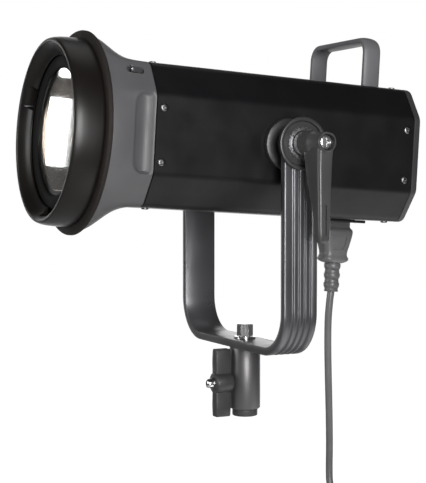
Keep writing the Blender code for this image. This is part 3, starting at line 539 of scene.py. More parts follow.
def make_tube():
    edge = 0.0005
    front, rear = BODY_FRONT, BODY_REAR
    sections = [(front - edge, 0.0), (front, edge), (front, BODY_WALL), (rear, BODY_WALL), (rear, edge),
                (rear + edge, 0.0)]
    rings = [along_head(octagon(shrink), s) for s, shrink in sections]
    tube = head_piece("tube_shell", skin(rings, closed=True), "tube", "body_tube", 25)
    wide, long = 0.0204 + 0.0006, 0.0276 + 0.0006
    inlet = drawn(rectangle(wide, long, 0.001, 2, (0, -INLET_AT)), -0.06, -0.045, "z")
    cut(tube, *inlet)
    for side in (-1, 1):
        for at in SCREWS_ALONG:
            for high in SCREWS_HIGH:
                drill(tube, "x", side * 0.069, side * 0.072, 0.0031, 24, (0, -at, high))
    sharpen(tube, 25)
    make_screws()


def screw_profile(seat, rise, radius):
    """A low domed head from its seat, with a round hollow in it."""
    return [(seat, radius), (seat + 0.6 * rise, radius), (seat + 0.9 * rise, 0.8 * radius),
            (seat + rise, 0.55 * radius), (seat + rise, 0.42 * radius), (seat + 0.35 * rise, 0.4 * radius)]


def joined(shapes):
    points, faces = [], []
    for more, sides in shapes:
        base = len(points)
        points += more
        faces += [tuple(base + i for i in face) for face in sides]
    return points, faces


def make_screws():
    """The sixteen screws that hold the bell and the rear cap to the tube, four on each flat."""
    shapes = []
    for at in SCREWS_ALONG:
        for side in (-1, 1):
            for high in SCREWS_HIGH:
                profile = [(side * a, r) for a, r in screw_profile(0.0688, 0.0016, 0.0028)]
                shapes.append(turned(profile, "x", 24, (0, -at, high)))
            for x in SCREWS_ACROSS:
                profile = [(side * a, r) for a, r in screw_profile(BODY_HALF_HIGH, 0.0014, 0.0028)]
                shapes.append(turned(profile, "z", 24, (x, -at, 0)))
    piece("shell_screws", *joined(shapes), "dark_screw", "head", place=HEAD, slot="bright_steel")


def bell_radius(angle, s, outline):
    share = smoothstep((s - BODY_FRONT) / (BELL_FRONT - BODY_FRONT)) ** 1.25
    return octagon_radius(angle, outline) * (1 - share) + 0.0752 * share


SCOOP_DEEP = 0.0034
SCOOP_LONG = 0.0165


def scoop(s, z):
    """How fully a point lies in the finger recess that runs forward from the seam on each side."""
    half_high, front, corner = 0.029, BODY_FRONT + SCOOP_LONG, 0.008
    dz = max(0.0, abs(z) - (half_high - corner))
    ds = max(0.0, s - (front - corner))
    outside = hypot(dz, ds) - corner
    return smoothstep(0.5 - outside / 0.0022)


def bell_ring_at(s, drop, outline, count):
    ring = []
    for i in range(count):
        angle = tau * i / count
        radius = bell_radius(angle, s, outline)
        x, z = radius * sin(angle), radius * cos(angle)
        if drop == 0.0:
            deep = scoop(s, z)
            bed = BODY_HALF_WIDE - SCOOP_DEEP * sin(pi * min(1.0, (s - BODY_FRONT) / SCOOP_LONG))
            if deep > 0 and abs(x) > bed:
                x += (copysign(bed, x) - x) * deep
        else:
            x, z = x * (1 - drop / radius), z * (1 - drop / radius)
        ring.append(Vector((x, -s, z)))
    return ring


def make_bell():
    outline = octagon()
    count, steps = 384, 44
    first, last = BODY_FRONT + 0.0003, BELL_FRONT - 0.0002
    stations = [first + (last - first) * k / steps for k in range(steps + 1)]
    rings = [bell_ring_at(s, 0.0, outline, count) for s in stations]
    rings[0] = bell_ring_at(first, 0.0005, outline, count)
    rings += [bell_ring_at(s, 0.006, outline, count) for s in (last, first)]
    bell = head_piece("bell_shell", skin(rings, closed=True), "bell", "front_bell", 40)
    slot_place = HEAD @ Matrix.Rotation(PIN_ANGLE, 4, "Y")
    hole = drawn(rectangle(0.0062, 0.014, 0.0028, 6, (0, -0.123)), 0.056, 0.09, "z")
    cut(bell, *hole, place=slot_place)
    sharpen(bell, 40)


def make_mount():
    flange = measured(-BELL_FRONT, (0, 57), (0, 76.4), (0.5, 77.5), (1.2, 78), (2.8, 78), (3.6, 77.6),
                      (4, 76.8), (4, 57), way=-1)
    head_piece("flange_plate", turned(flange, "y", 160, bored=True), "flange", "mount_flange")
    bead = mm((-148.8, 62), (-148.8, 71), (-149, 71.4), (-149.6, 71.7), (-151, 71.8), (-156, 71.8),
              (-161, 71.6), (-165, 71.3), (-168, 70.8), (-170, 70.2), (-170.9, 69.8), (-171.4, 69.3),
              (-171.5, 68.7), (-171.5, 68), (-171.3, 67.2), (-170.8, 66.5), (-170, 65.8), (-168.5, 64.6),
              (-166.5, 62.9), (-165.2, 61.4), (-164.2, 59.9), (-163.5, 58.7), (-163.1, 57.9),
              (-162.6, 57.7), (-162, 57.8), (-161.8, 58.3), (-161.8, 62))
    shape = turned(bead, "y", 192, bored=True)
    ring = head_piece("bayonet_ring", shape, "ring", "mount_ring", 50)
    for turn in NOTCH_ANGLES:
        place = HEAD @ Matrix.Rotation(radians(turn), 4, "Y")
        notch = drawn(rectangle(0.0125, 0.019, 0.002, 4, (0.058, 0)), -0.1765, -0.161, "y")
        cut(ring, *notch, place=place)
    sharpen(ring, 50)
    retainer = mm((-148.8, 46.2), (-148.8, 59), (-159.6, 59), (-160.4, 58.7), (-161.2, 57.4), (-161.2, 50),
                  (-160.6, 48.8), (-159.7, 48.2), (-159.7, 49.6), (-156, 49.6), (-156, 46.2))
    shape = turned(retainer, "y", 128, bored=True)
    head_piece("retainer_ring", shape, "throat", "glass_retainer")
    pane = [(-0.1563, 0.0486), (-0.1566, GLASS_R), (-0.159, GLASS_R), (-0.1593, 0.0486)]
    head_piece("glass_pane", turned(pane, "y", 128), "glass", "glass_plate", 15)


def make_optics():
    bowl = mm((-126.2, 14), (-128, 17.2), (-131, 21.8), (-135, 27.6), (-140, 33.4), (-147, 39.6),
              (-155.2, 45), (-155.2, 44.1), (-147, 38.7), (-140, 32.4), (-135, 26.6), (-131, 20.8),
              (-128, 16.2), (-126.2, 13.2))
    head_piece("reflector_bowl", turned(bowl, "y", 96, bored=True), "mirror", "reflector", 60)
    led = [(-0.1239, 0.0115), (-0.125, 0.0115), (-0.1256, 0.0109)]
    head_piece("led_face", turned(led, "y", 64), "phosphor", "led_cob")


def make_release():
    """The lock's thumb tab, folded up out of the bell's slot."""
    place = HEAD @ Matrix.Rotation(PIN_ANGLE, 4, "Y")
    blade = drawn(rounded(mm((-2.4, 62), (2.4, 62), (2.4, 77.8), (-2.4, 77.8)),
                          [0.0002, 0.0002, 0.0016, 0.0016], 6), -0.1272, -0.1254, "y", 0.0003)
    swapped = [Vector((p.z, p.y, p.x)) for p in blade[0]]
    foot = drawn(rectangle(0.0048, 0.0045, 0.001, 4, (0, -0.1252)), 0.069, 0.0704, "z", 0.0002)
    shape = joined([(swapped, blade[1]), foot])
    piece("release_thumb", *shape, "steel", "lock_release", ("release_tab",), place)


# ---- the rear

# Places are (x, z) on the panel; the display's also has its width and height.
DISPLAY = (-0.017, 0.013, 0.046, 0.03)
DIAL = (0.023, 0.009)
BUTTONS = {"mode": (-0.032, -0.015), "down": (-0.017, -0.015), "up": (-0.002, -0.015)}
ROCKER = (0.03, -0.031)


def make_cap():
    sections = measured(BODY_REAR, (-0.3, 0.5), (-0.8, 0))
    sections += measured(CAP_REAR, (2.2, 0), (1, 0.4), (0.2, 1.4), (0, 2.4), (0, 4), (0.3, 4.8), (1.5, 5.6))
    rings = [along_head(octagon(shrink), s) for s, shrink in sections]
    cap = head_piece("cap_shell", skin(rings), "cap", "rear_cap", 30)
    x, z, wide, high = DISPLAY
    cut(cap, *drawn(rectangle(high + 0.0006, wide + 0.0006, 0.002, 4, (z, x)), 0.11, 0.13, "y"))
    x, z = ROCKER
    cut(cap, *drawn(rectangle(0.0128, 0.0192, 0.0004, 2, (z, x)), 0.11, 0.13, "y"))
    drill(cap, "y", 0.11, 0.13, 0.0036, 24, (DIAL[0], 0, DIAL[1]))
    for x, z in BUTTONS.values():
        drill(cap, "y", 0.11, 0.13, 0.0043, 32, (x, 0, z))
    for z in (0.04, -0.037):
        for k in range(7):
            x = -0.048 + 0.008 * k
            cut(cap, *drawn(rectangle(0.012, 0.0032, 0.0015, 4, (z, x)), 0.11, 0.13, "y"))
    sharpen(cap, 30)


def make_controls():
    x, z, wide, high = DISPLAY
    window = drawn(rectangle(high, wide, 0.0018, 4, (z, x)), 0.118, 0.1207, "y", 0.0003)
    head_piece("display_cover", window, "display", "display_window")
    marks = []
    for level, length in ((0.0235, 0.014), (0.0195, 0.022), (0.006, 0.01)):
        bar = rectangle(0.001, length, 0.0004, 2, (level - 0.002, x - wide / 2 + 0.004 + length / 2))
        marks.append(drawn(bar, 0.1205, 0.12075, "y"))
    level_box = rectangle(0.008, 0.012, 0.001, 3, (z, x + wide / 2 - 0.01))
    marks.append(drawn(level_box, 0.1205, 0.12075, "y"))
    piece("display_marks", *joined(marks), "marks", "head", place=HEAD, slot="display_dark")
    make_dial()
    cap = mm((112.5, 5.2), (114, 5.2), (114, 4), (121.8, 4), (122.6, 3.7), (123, 3))
    for name, (x, z) in BUTTONS.items():
        shape, node = turned(cap, "y", 32, (x, 0, z)), "button_" + name
        piece(node + "_cap", *shape, "button", name + "_button", (node,), HEAD)


def make_dial():
    """The dial, knurled round its edge, with a finger dimple in its face."""
    sides, teeth = 144, 36
    profile = mm((112.5, 3), (120.9, 3), (120.9, 11.8), (121.5, 12.6), (122.2, 12.8), (132.2, 12.3),
                 (133.4, 11.8), (134.1, 11), (134.5, 10), (134.5, 6), (133.8, 3))
    rings = []
    for along, radius in profile:
        knurled = 0.1216 < along < 0.133 and radius > 0.01
        ring = []
        for i in range(sides):
            t = tau * i / sides
            r = radius - (0.0005 if knurled and i * teeth % sides < sides / 2 and (i // 2) % 2 else 0.0)
            ring.append(Vector((DIAL[0], 0, DIAL[1])) + on_axis("y", along, r * cos(t), r * sin(t)))
        rings.append(ring)
    piece("dial_grip", *skin(rings), "moulded", "dial", ("dial_knob",), HEAD, 30)


# ---- handle, inlet and connector

def strap_path(half, top, foot, corner, steps):
    """The strap's outer line as (x, z, outward x, outward z) points, from one foot over to the other."""
    path = [(half, foot, 1.0, 0.0)]
    for k in range(steps + 1):
        turn = pi / 2 * k / steps
        out_x, out_z = cos(turn), sin(turn)
        path.append((half - corner + corner * out_x, top - corner + corner * out_z, out_x, out_z))
    return path + [(-x, z, -out_x, out_z) for x, z, out_x, out_z in reversed(path)]


def strap(path, section, middle=0.0):
    """Points and faces of a (y, outward) section carried along a strap's path."""
    return skin([[Vector((x + out_x * out, middle + y, z + out_z * out)) for y, out in section]
                 for x, z, out_x, out_z in path])


def make_handle():
    half_wide, thick = HANDLE_WIDE / 2, HANDLE_THICK
    crown = [(half_wide * sin(t), -thick * 0.42 * (1 - cos(t)))
             for t in [radians(-84 + 12 * k) for k in range(15)]]
    section = [(-half_wide + 0.0006, -thick), *crown, (half_wide - 0.0006, -thick)]
    path = strap_path(HANDLE_LEG_X + thick / 2, HANDLE_TOP, BODY_HALF_HIGH + 0.0002, 0.0135, 14)
    handle = head_piece("handle_strap", strap(path, section, -HANDLE_AT), "handle", "carry_handle", 45)
    soften(handle, 0.0005, 2, 50)


def make_inlet():
    under, y = -BODY_HALF_HIGH - 0.0003, -INLET_AT
    plate = drawn(rectangle(0.0225, 0.05, 0.004, 6, (0, y)), under - 0.0023, under, "z", 0.0005)
    shell = drawn(rectangle(0.0204, 0.0276, 0.001, 3, (0, y)), under - 0.001, under + 0.02, "z")
    inlet = head_piece("inlet_body", plate, "moulded", "power_inlet")
    cut(inlet, *shell, operation="UNION")
    well = drawn(rectangle(0.0166, 0.0246, 0.003, 4, (0, y)), under - 0.01, under + 0.0175, "z")
    cut(inlet, *well)
    for dy in (-0.02, 0.02):
        drill(inlet, "z", under - 0.004, under - 0.0012, 0.0022, 24, (0, y + dy, 0))
    sharpen(inlet)
    heads = [turned([(under - 0.0013, 0.002), (under - 0.0021, 0.0018), (under - 0.0024, 0.0011)], "z", 20,
                    (0, y + dy, 0)) for dy in (-0.02, 0.02)]
    piece("inlet_screws", *joined(heads), "dark_screw", "head", place=HEAD, slot="bright_steel")


CONNECTOR = mm((-44.5, 15.5, 23.6, 3), (-60, 15.5, 23.6, 3), (-61.2, 16.2, 24.2, 3.4),
               (-62.2, 18.6, 26.4, 4.5), (-63, 20.2, 28, 5.2), (-64.2, 21.1, 28.8, 5.6),
               (-65.8, 21.2, 28.8, 5.6), (-70, 20.2, 27.4, 5.4), (-76, 18.4, 24.8, 5.2),
               (-81.5, 16.8, 22.2, 5.2), (-84, 16.8, 22, 5.6), (-85.8, 17.8, 23.4, 6), (-87.2, 18.9, 25, 6.4),
               (-88.4, 19, 25, 6.6), (-89.6, 17.8, 23, 6.6), (-90.6, 15.6, 19.4, 6.6),
               (-91.2, 13.8, 15.4, 6.4))

# The panels in the connector's wide faces: their heights, and how far they lean in for each metre down.
PANEL_TOP = -0.0682
PANEL_FOOT = -0.08
PANEL_LEAN = 0.0016675 / 0.0118


def make_connector():
    """The rubber connector: shoulders, a waist, a flare, a panel in each wide face and a ribbed relief."""
    y = -INLET_AT
    rings = [[Vector((px, y + py, z)) for px, py in rectangle(wide, long, radius, 8)]
             for z, wide, long, radius in CONNECTOR]
    connector = head_piece("connector", skin(rings), "rubber", "inlet_plug", 50)
    relief = [(-0.09, 0.0066)]
    rib = mm((0, 0.6), (0.8, 0), (3.2, 0.1), (4.4, 0.6), (5.6, 1.1), (7, 0.8))
    for k in range(3):
        top, radius = -0.0915 - 0.008 * k, 0.0071 - 0.0002 * k
        relief += [(top - down, radius - less) for down, less in rib]
    relief += [(-0.1148, 0.0062), (PLUG_END + 0.0001, 0.0056)]
    cut(connector, *turned(relief, "z", 48, (0, y, 0)), operation="UNION")
    for side in (-1, 1):
        panel = [(y - 0.0072, PANEL_TOP), (y + 0.0072, PANEL_TOP), (y + 0.0052, PANEL_FOOT),
                 (y - 0.0052, PANEL_FOOT)]
        outline = rounded(panel, 0.0014, 5)
        sunk = [Vector((side * (0.0093 - PANEL_LEAN * (PANEL_TOP - z)), p, z)) for p, z in outline]
        outer = [Vector((side * 0.014, p, z)) for p, z in outline]
        cut(connector, *skin([sunk, outer]))
        for k in range(3):
            z = -0.0966 - 0.008 * k
            slot = drawn(rectangle(0.0085, 0.0015, 0.0006, 3, (y, z)), side * 0.0046, side * 0.009, "x")
            cut(connector, *slot)
    sharpen(connector, 40)


# ---- yoke and pivots

def yoke_section():
    """The strap's cross-section as (y, outward) points: flat inside, with rounded grooves outside."""
    half, grooves, deep, land = YOKE_WIDE / 2, 4, 0.0011, 0.0034
    pitch = 2 * (half - land / 2) / (grooves + 1)
    edge = [(-half + 0.0006, 0.0), (-half + 0.0002, 0.0002), (-half, 0.0006), (-half, ARM_THICK - 0.001),
            (-half + 0.0003, ARM_THICK - 0.0003), (-half + 0.001, ARM_THICK)]
    groove = [(0.0018, 0.0), (0.0013, 0.0003), (0.001, deep - 0.0002), (0.0007, deep)]
    points = list(edge)
    for k in range(1, grooves + 1):
        middle = -half + land / 2 + pitch * k
        points += [(middle - y, ARM_THICK - depth) for y, depth in groove]
        points += [(middle + y, ARM_THICK - depth) for y, depth in reversed(groove)]
    return points + [(-y, out) for y, out in reversed(edge)]


def yoke_path():
    """The handle's kind of path, upside down."""
    foot, low = PIVOT_Z + YOKE_WIDE / 2 + 0.001, PIVOT_Z - YOKE_DROP
    path = strap_path(ARM_X, -low, -foot, YOKE_CORNER - ARM_THICK, 24)
    return [(x, -z, out_x, -out_z) for x, z, out_x, out_z in path]


def make_yoke():
    shape = strap(yoke_path(), yoke_section())
    yoke = piece("yoke_strap", *shape, "anodised", "yoke", ("yoke",), WORLD, 40)
    half, steps = YOKE_WIDE / 2, 40
    outline = [(-half - 0.001, -0.01), (half + 0.001, -0.01), (half + 0.001, PIVOT_Z - 0.002)]
    outline += [(half * cos(pi * k / steps), PIVOT_Z + half * sin(pi * k / steps))
                for k in range(steps + 1)]
    outline.append((-half - 0.001, PIVOT_Z - 0.002))
    cut(yoke, *drawn(outline, -0.12, 0.12, "x"), operation="INTERSECT")
    for side in (1, -1):
        drill(yoke, "x", side * 0.08, side * 0.1, 0.0046, 32, (0, 0, PIVOT_Z))
    drill(yoke, "z", 0.05, 0.07, 0.0045)
    clean(yoke)
    sharpen(yoke, 40)


def make_trunnions():
    face = BODY_HALF_WIDE + 0.0003
    profile = [(0.064, 0.0043), (0.064, 0.0058), (face, 0.0058), (face, 0.0196), (0.0712, 0.02),
               (0.073, 0.02), (0.0742, 0.0196), (0.0747, 0.0188), (0.0747, 0.0114), (0.0838, 0.0108),
               (0.0838, 0.0043)]
    for node, side in (("trunnion_near", 1), ("trunnion_far", -1)):
        made = turned([(side * a, r) for a, r in profile], "x", 96, bored=True)
        head_piece(node + "_disc", made, "pivot", node)


def make_pivots():
    outer, centre = ARM_X + ARM_THICK + 0.0003, (0, 0, PIVOT_Z)
    cup = measured(outer, (0, 4.6), (0, 19.4), (0.6, 19.9), (1.2, 20), (2.6, 20), (3.2, 19.7), (3.5, 19),
                   (3.5, 17.8), (3.2, 17.1), (2.4, 16.7), (1.6, 16.4), (1.6, 4.6))
    piece("pivot_cup_near", *turned(cup, "x", 96, centre, bored=True), "pivot", "yoke", ("pivot_cup",))
    make_serrated_washer(outer + 0.0016)
    cap = measured(-outer, (0, 4.6), (0, 15.4), (1.2, 16), (2.6, 16), (3.6, 15.5), (4, 14.6), (4, 4.6),
                   way=-1)
    piece("pivot_cap_far", *turned(cap, "x", 96, centre, bored=True), "pivot", "yoke", ("pivot_cap",))
    head_in = -outer - 0.0043
    bolt = [(-0.056, 0.0038)]
    bolt += measured(head_in, (0, 3.8), (0, 7), (0.3, 7.2), (4, 7.2), (4.8, 6.9), (5.1, 6.2), way=-1)
    made = piece("pivot_bolt_far", *turned(bolt, "x", 48, centre), "steel", "yoke", ("far_pivot_bolt",))
    cut(made, *drawn(hexagon(0.0029, PIVOT_Z), head_in - 0.006, head_in - 0.0022, "x"))
    sharpen(made)


def make_serrated_washer(seat):
    """The toothed lock washer in the cup, round the stud."""
    rings, teeth = [], 24
    bottom = seat - 0.0004
    for along, inner in ((bottom, False), (seat + 0.001, False), (seat + 0.0012, True), (bottom, True)):
        ring = []
        for i in range(teeth * 4):
            t = tau * i / (teeth * 4)
            r = 0.0098 if inner else (0.0127 if i % 4 < 2 else 0.0119)
            ring.append(Vector((0, 0, PIVOT_Z)) + on_axis("x", along, r * cos(t), r * sin(t)))
        rings.append(ring)
    piece("tooth_washer", *skin(rings, closed=True), "dark_screw", "yoke", slot="bright_steel")


# ---- lever

LEVER_SECTIONS = mm((0, 105.8, 130, 7, 3.4), (6.4, 105.8, 129.4, 6.6, 3), (12, 106.2, 128.6, 6.2, 2.7),
                    (20, 107.5, 128.2, 6, 2.6), (30, 110, 128, 5.7, 2.5), (40, 113, 127.8, 5.4, 2.4),
                    (50, 116.2, 127.7, 5.1, 2.3), (60, 118.4, 127.6, 5, 2.2), (66, 119.1, 127.5, 4.8, 2.2),
                    (70, 119.5, 127.3, 4.6, 2.2), (72.2, 120, 126.8, 4, 2), (73.2, 120.8, 126, 3, 1.6))


def make_lever():
    outer = ARM_X + ARM_THICK + 0.0003 + 0.0019
    collar = outer + 0.006
    stud = mm((60, 3.6), (61, 4))
    stud += measured(outer, (0, 4), (0, 8.9), (0.4, 9.2), (5.6, 9.2), (6, 8.9), (6, 6))
    stud += mm((111, 6), (111, 2.4), (118.5, 2.4))
    piece("stud_turned", *turned(stud, "x", 48), "steel", "lever_stud", ("clamp_stud",), AT_PIVOT)
    hub = measured(collar, (0.3, 6.3), (0.3, 9), (0.8, 9.5))
    hub += mm((113, 9.2), (116.2, 8.7), (118, 7.7), (129.2, 7.5), (130.4, 7.3), (131, 6.8), (131, 6.1),
              (121.3, 5.9), (121.3, 2.7), (116.8, 2.7), (116.8, 6.3))
    shape = turned(hub, "x", 96, bored=True)
    lever = piece("lever_arm", *shape, "lever", "lever", ("clamp_lever",), AT_PIVOT)
    rings = []
    for drop, low, high, half, radius in LEVER_SECTIONS:
        section = rectangle(high - low, 2 * half, radius, 5, ((low + high) / 2, 0))
        rings.append([Vector((x, y, -drop)) for x, y in section])
    arm = piece("arm", *skin(rings), "lever", None, (), AT_PIVOT)
    drill(arm, "x", 0.124, 0.134, 0.0059, 64)
    drill(arm, "x", 0.104, 0.124, 0.0064, 64)
    points = [v.co.copy() for v in arm.data.vertices]
    faces = [tuple(f.vertices) for f in arm.data.polygons]
    bpy.data.objects.remove(arm, do_unlink=True)
    cut(lever, points, faces, operation="UNION")
    groove = drawn(rectangle(0.0024, 0.023, 0.001, 3, (0.0, -0.057)), 0.1258, 0.129, "x")
    cut(lever, *groove)
    sharpen(lever)
    screw = mm((118.8, 2.2), (125.9, 2.2), (125.9, 5.4), (126.3, 5.7), (128, 5.7), (128.8, 5.3), (129.3, 4.4),
               (129.5, 3))
    shape = turned(screw, "x", 64)
    made = piece("lever_screw_head", *shape, "chrome", "lever_stud", ("lever_screw",), AT_PIVOT)
    for wide, high in ((0.0032, 0.0007), (0.0007, 0.0032)):
        cut(made, *box_mesh((0.127, -wide, -high), (0.131, wide, high)))
    sharpen(made)


# ---- receiver and knob

def make_receiver():
    top = PIVOT_Z - YOKE_DROP - ARM_THICK - 0.0002
    sleeve = mm((5.8, 9.9), (5.8, 11.4), (6.2, 12.1), (7, 12.6))
    sleeve += measured(top, (-1.2, 12.6), (-0.3, 12.2), (0, 11.5), (0, 4.4)) + mm((43.3, 4.4), (43.3, 9.9))
    receiver = piece("receiver_sleeve", *turned(sleeve, "z", 96, bored=True), "receiver", "yoke",
                     ("stand_receiver", "receiver_boss"))
    bush = mm((0, 8.4), (0, 9.6), (0.3, 10.1), (0.8, 10.35), (5.5, 10.35), (5.5, 9.6), (43, 9.6), (43, 8),
              (0.6, 8))
    liner = piece("bush_liner", *turned(bush, "z", 64, bored=True), "bush", "yoke", ("spigot_bush",))
    for made in (receiver, liner):
        drill(made, "y", -0.02, -0.001, 0.0043, 32, (0, 0, KNOB_Z))
        sharpen(made)
    bar = PIVOT_Z - YOKE_DROP
    washer = measured(bar, (0.1, 4.4), (0.1, 8.7), (0.4, 9), (1.5, 9), (1.8, 8.7), (1.8, 4.4))
    piece("washer_flat", *turned(washer, "z", 64, bored=True), "chrome", "yoke", ("bolt_washer",))
    seat = bar + 0.002
    shank = turned([(0.045, 0.0039), (seat + 0.001, 0.0039)], "z", 24)
    prism = drawn(hexagon(0.0066), seat, seat + 0.01, "z")
    bolt = piece("bolt_hex", *prism, "chrome", "yoke", ("yoke_bolt",))
    cone = turned(measured(seat, (-1, 6.2), (0.4, 6.8), (9.1, 6.8), (10.2, 5.4)), "z", 64)
    cut(bolt, *cone, operation="INTERSECT")
    cut(bolt, *shank, operation="UNION")
    sharpen(bolt, 30)


def make_knob():
    """The T-knob: a round hub and a blade that swells towards its two ends."""
    inner = -RECEIVER_R - 0.001
    hub = measured(inner, (0, 4.2), (0, 7.6), (0.6, 8.3), (1.5, 8.6), (13.5, 8.6), (14.5, 8.3), (15, 7.6),
                   (15, 4.2), way=-1)
    place = Matrix.Translation((0, 0, KNOB_Z))
    knob = piece("knob_grip", *turned(hub, "y", 64, bored=True), "knob", "knob", ("t_knob",), place)
    swell = mm((27.5, 3), (26.3, 3.7), (20, 4.3), (16, 4.4), (11, 4.1), (7, 4))
    side = [(-z, x) for z, x in swell] + swell[::-1]
    outline = side + [(z, -x) for z, x in reversed(side)]
    blade = drawn(outline, inner - 0.0144, inner - 0.001, "y", 0.0012, 4)
    cut(knob, *blade, operation="UNION")
    drill(knob, "y", inner - 0.02, inner + 0.005, 0.0042)
    sharpen(knob, 40)
    screw = mm((-10.7, 3.4), (-11.2, 3.9))
    screw += measured(inner, (18.8, 3.9), (20, 3.7), (20.9, 3.1), (21.3, 2), (21.5, 0.8), way=-1)
    piece("knob_rod", *turned(screw, "y", 40), "chrome", "knob", ("knob_screw",), place, 50)


# ---- the mains lead

def smooth_route(points, spacing):
    """Points along a smooth curve through the route's own points, about spacing apart."""
    ends = [2 * points[0] - points[1], *points, 2 * points[-1] - points[-2]]
    fine = []
    for i in range(1, len(ends) - 2):
        a, b, c, d = ends[i - 1:i + 3]
        for k in range(20):
            t = k / 20
            fine.append(0.5 * (2 * b + (c - a) * t + (2 * a - 5 * b + 4 * c - d) * t * t
                               + (3 * b - a - 3 * c + d) * t ** 3))
    fine.append(points[-1])
    kept, run = [fine[0]], 0.0
    for before, after in zip(fine, fine[1:]):
        run += (after - before).length
        if run >= spacing:
            kept.append(after)
            run = 0.0
    if (kept[-1] - fine[-1]).length > spacing / 3:
        kept.append(fine[-1])
    else:
        kept[-1] = fine[-1]
    return kept


def coil_places():
    """The layer and column of each turn: out to in in the first column, in to out in the next, and so on."""
    places = []
    for column in range(COIL_COLUMNS):
        layers = range(COIL_LAYERS)
        for layer in (reversed(layers) if column % 2 == 0 else layers):
            places.append((layer, column))
    return places


def coil_points():
    """The turns, clockwise from where the lead joins the coil to where its tail hangs from it."""
    places = coil_places()
    per_turn = 30
    whole = len(places) * tau + COIL_JOIN
    total = int(per_turn * whole / tau)
    points = []
    for k in range(total + 1):
        swept = whole * k / total
        turn = min(len(places) - 1, int(swept / tau))
        share = swept / tau - turn
        nxt = places[min(len(places) - 1, turn + 1)]
        move = smoothstep((share - 0.78) / 0.22) if turn < len(places) - 1 else 0.0
        layer = places[turn][0] + (nxt[0] - places[turn][0]) * move
        column = places[turn][1] + (nxt[1] - places[turn][1]) * move
        radius = COIL_R + (layer - (COIL_LAYERS - 1) / 2) * COIL_STEP
        angle = COIL_JOIN - swept
        across = ((COIL_COLUMNS - 1) / 2 - column) * COIL_STEP
        points.append(COIL_MIDDLE + Vector((radius * cos(angle), across, radius * sin(angle))))
    return points


def relief_end():
    return HEAD @ Vector((0, -INLET_AT, PLUG_END))


def lead_points():
    hanging = smooth_route([relief_end()] + [Vector(p) * MM for p in CORD_ROUTE], 0.006)
    coil = coil_points()
    tail_top = coil[-1]
    tail_drop = COIL_MIDDLE.z - TAIL_END - tail_top.z
    tail = [tail_top + Vector((0, 0, tail_drop * k / 7)) for k in range(1, 8)]
    return hanging + coil + tail


def swept_tube(points, radius, sides):
    """A tube's rings along points, without twist, and its faces."""
    last = len(points) - 1
    ways = [(points[min(i + 1, last)] - points[max(i - 1, 0)]).normalized() for i in range(last + 1)]
    across = ways[0].orthogonal().normalized()
    rings = []
    for point, way in zip(points, ways):
        across = (across - way * across.dot(way)).normalized()
        other = way.cross(across)
        rings.append([point + radius * (across * cos(tau * i / sides)
                                        + other * sin(tau * i / sides)) for i in range(sides)])
    return skin(rings)


def make_lead():
    points = lead_points()
    lead = piece("mains_lead", *swept_tube(points, CORD_D / 2, 12), "rubber", None, smooth=60)
    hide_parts("mains_cord", "cord_coil", "cord_tail")
    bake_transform(lead)
    tie, plug = make_tie(), make_wall_plug()


def make_tie():
    """The hook-and-loop strap round the turns, a closed band."""
    outer = COIL_R + COIL_STEP * (COIL_LAYERS - 1) / 2 + CORD_D / 2
    inner = COIL_R - COIL_STEP * (COIL_LAYERS - 1) / 2 - CORD_D / 2
    half = COIL_STEP * (COIL_COLUMNS - 1) / 2 + CORD_D / 2
    place = Matrix.Translation(COIL_MIDDLE) @ Matrix.Rotation(-TIE_ANGLE, 4, "Y")
    room, wall, half_long = 0.0006, 0.0013, 0.0068
    low, high = sqrt(inner ** 2 - half_long ** 2) - room, outer + room
    middle = (low + high) / 2
    loops = []
    for grow, z in ((wall, -half_long), (wall, half_long), (0.0, half_long), (0.0, -half_long)):
        outline = rectangle(high - low + 2 * grow, 2 * (half + room + grow), 0.0028 + grow, 5)
        loops.append([Vector((middle + p, q, z)) for p, q in outline])
    tie = piece("lead_tie", *skin(loops, closed=True), "tie", "yoke", ("cord_tie",), place)
    soften(tie, 0.0003, 2)
    return tie


def make_wall_plug():
    """The round two-pin wall plug, with a ribbed relief, side earth contacts and a grip rim."""
    tail_x = COIL_MIDDLE.x + COIL_R + COIL_STEP
    tail_y = COIL_MIDDLE.y - COIL_STEP * (COIL_COLUMNS - 1) / 2
    top = Vector((tail_x, tail_y, COIL_MIDDLE.z - TAIL_END - 0.0003))
    profile = [(0.0, 0.0034), (0.0, 0.0046)]
    for k in range(5):
        z = -0.003 - 0.0042 * k
        radius = 0.005 + 0.00045 * k
        profile += [(z + 0.0022, radius), (z, radius + 0.0001), (z - 0.0003, radius - 0.0009),
                    (z - 0.0016, radius - 0.0009)]
    profile += mm((-24, 7.8), (-26.2, 9.2), (-30, 15), (-32.5, 17), (-36, 18.2), (-38.5, 18.3), (-39.5, 17.6),
                  (-42, 17.6), (-43, 18.3), (-59, 18.5), (-60.6, 18.2), (-61.2, 17.4))
    plug = piece("wall_plug", *turned(profile, "z", 40, top), "rubber", "yoke", ("mains_plug",))
    for side in (-1, 1):
        pin = [(-0.0606, 0.0024), (-0.079, 0.0024), (-0.0802, 0.0016)]
        centre = top + Vector((side * 0.0095, 0, 0))
        name, shape = f"wall_plug_pin_{side + 2}", turned(pin, "z", 20, centre)
        piece(name, *shape, "chrome", "yoke", slot="bright_steel")
        contact = box_mesh((top.x - 0.0022, top.y + side * 0.015 - 0.003, top.z - 0.0614),
                           (top.x + 0.0022, top.y + side * 0.015 + 0.003, top.z - 0.045))
        cut(plug, *contact)
    sharpen(plug)
    return plug


# ---- stage and light

WORLD_LIGHT = 0.24
FLOOR_HALF = 9.0
FLOOR_Z = -0.81
GLASS_FACE = 0.1593

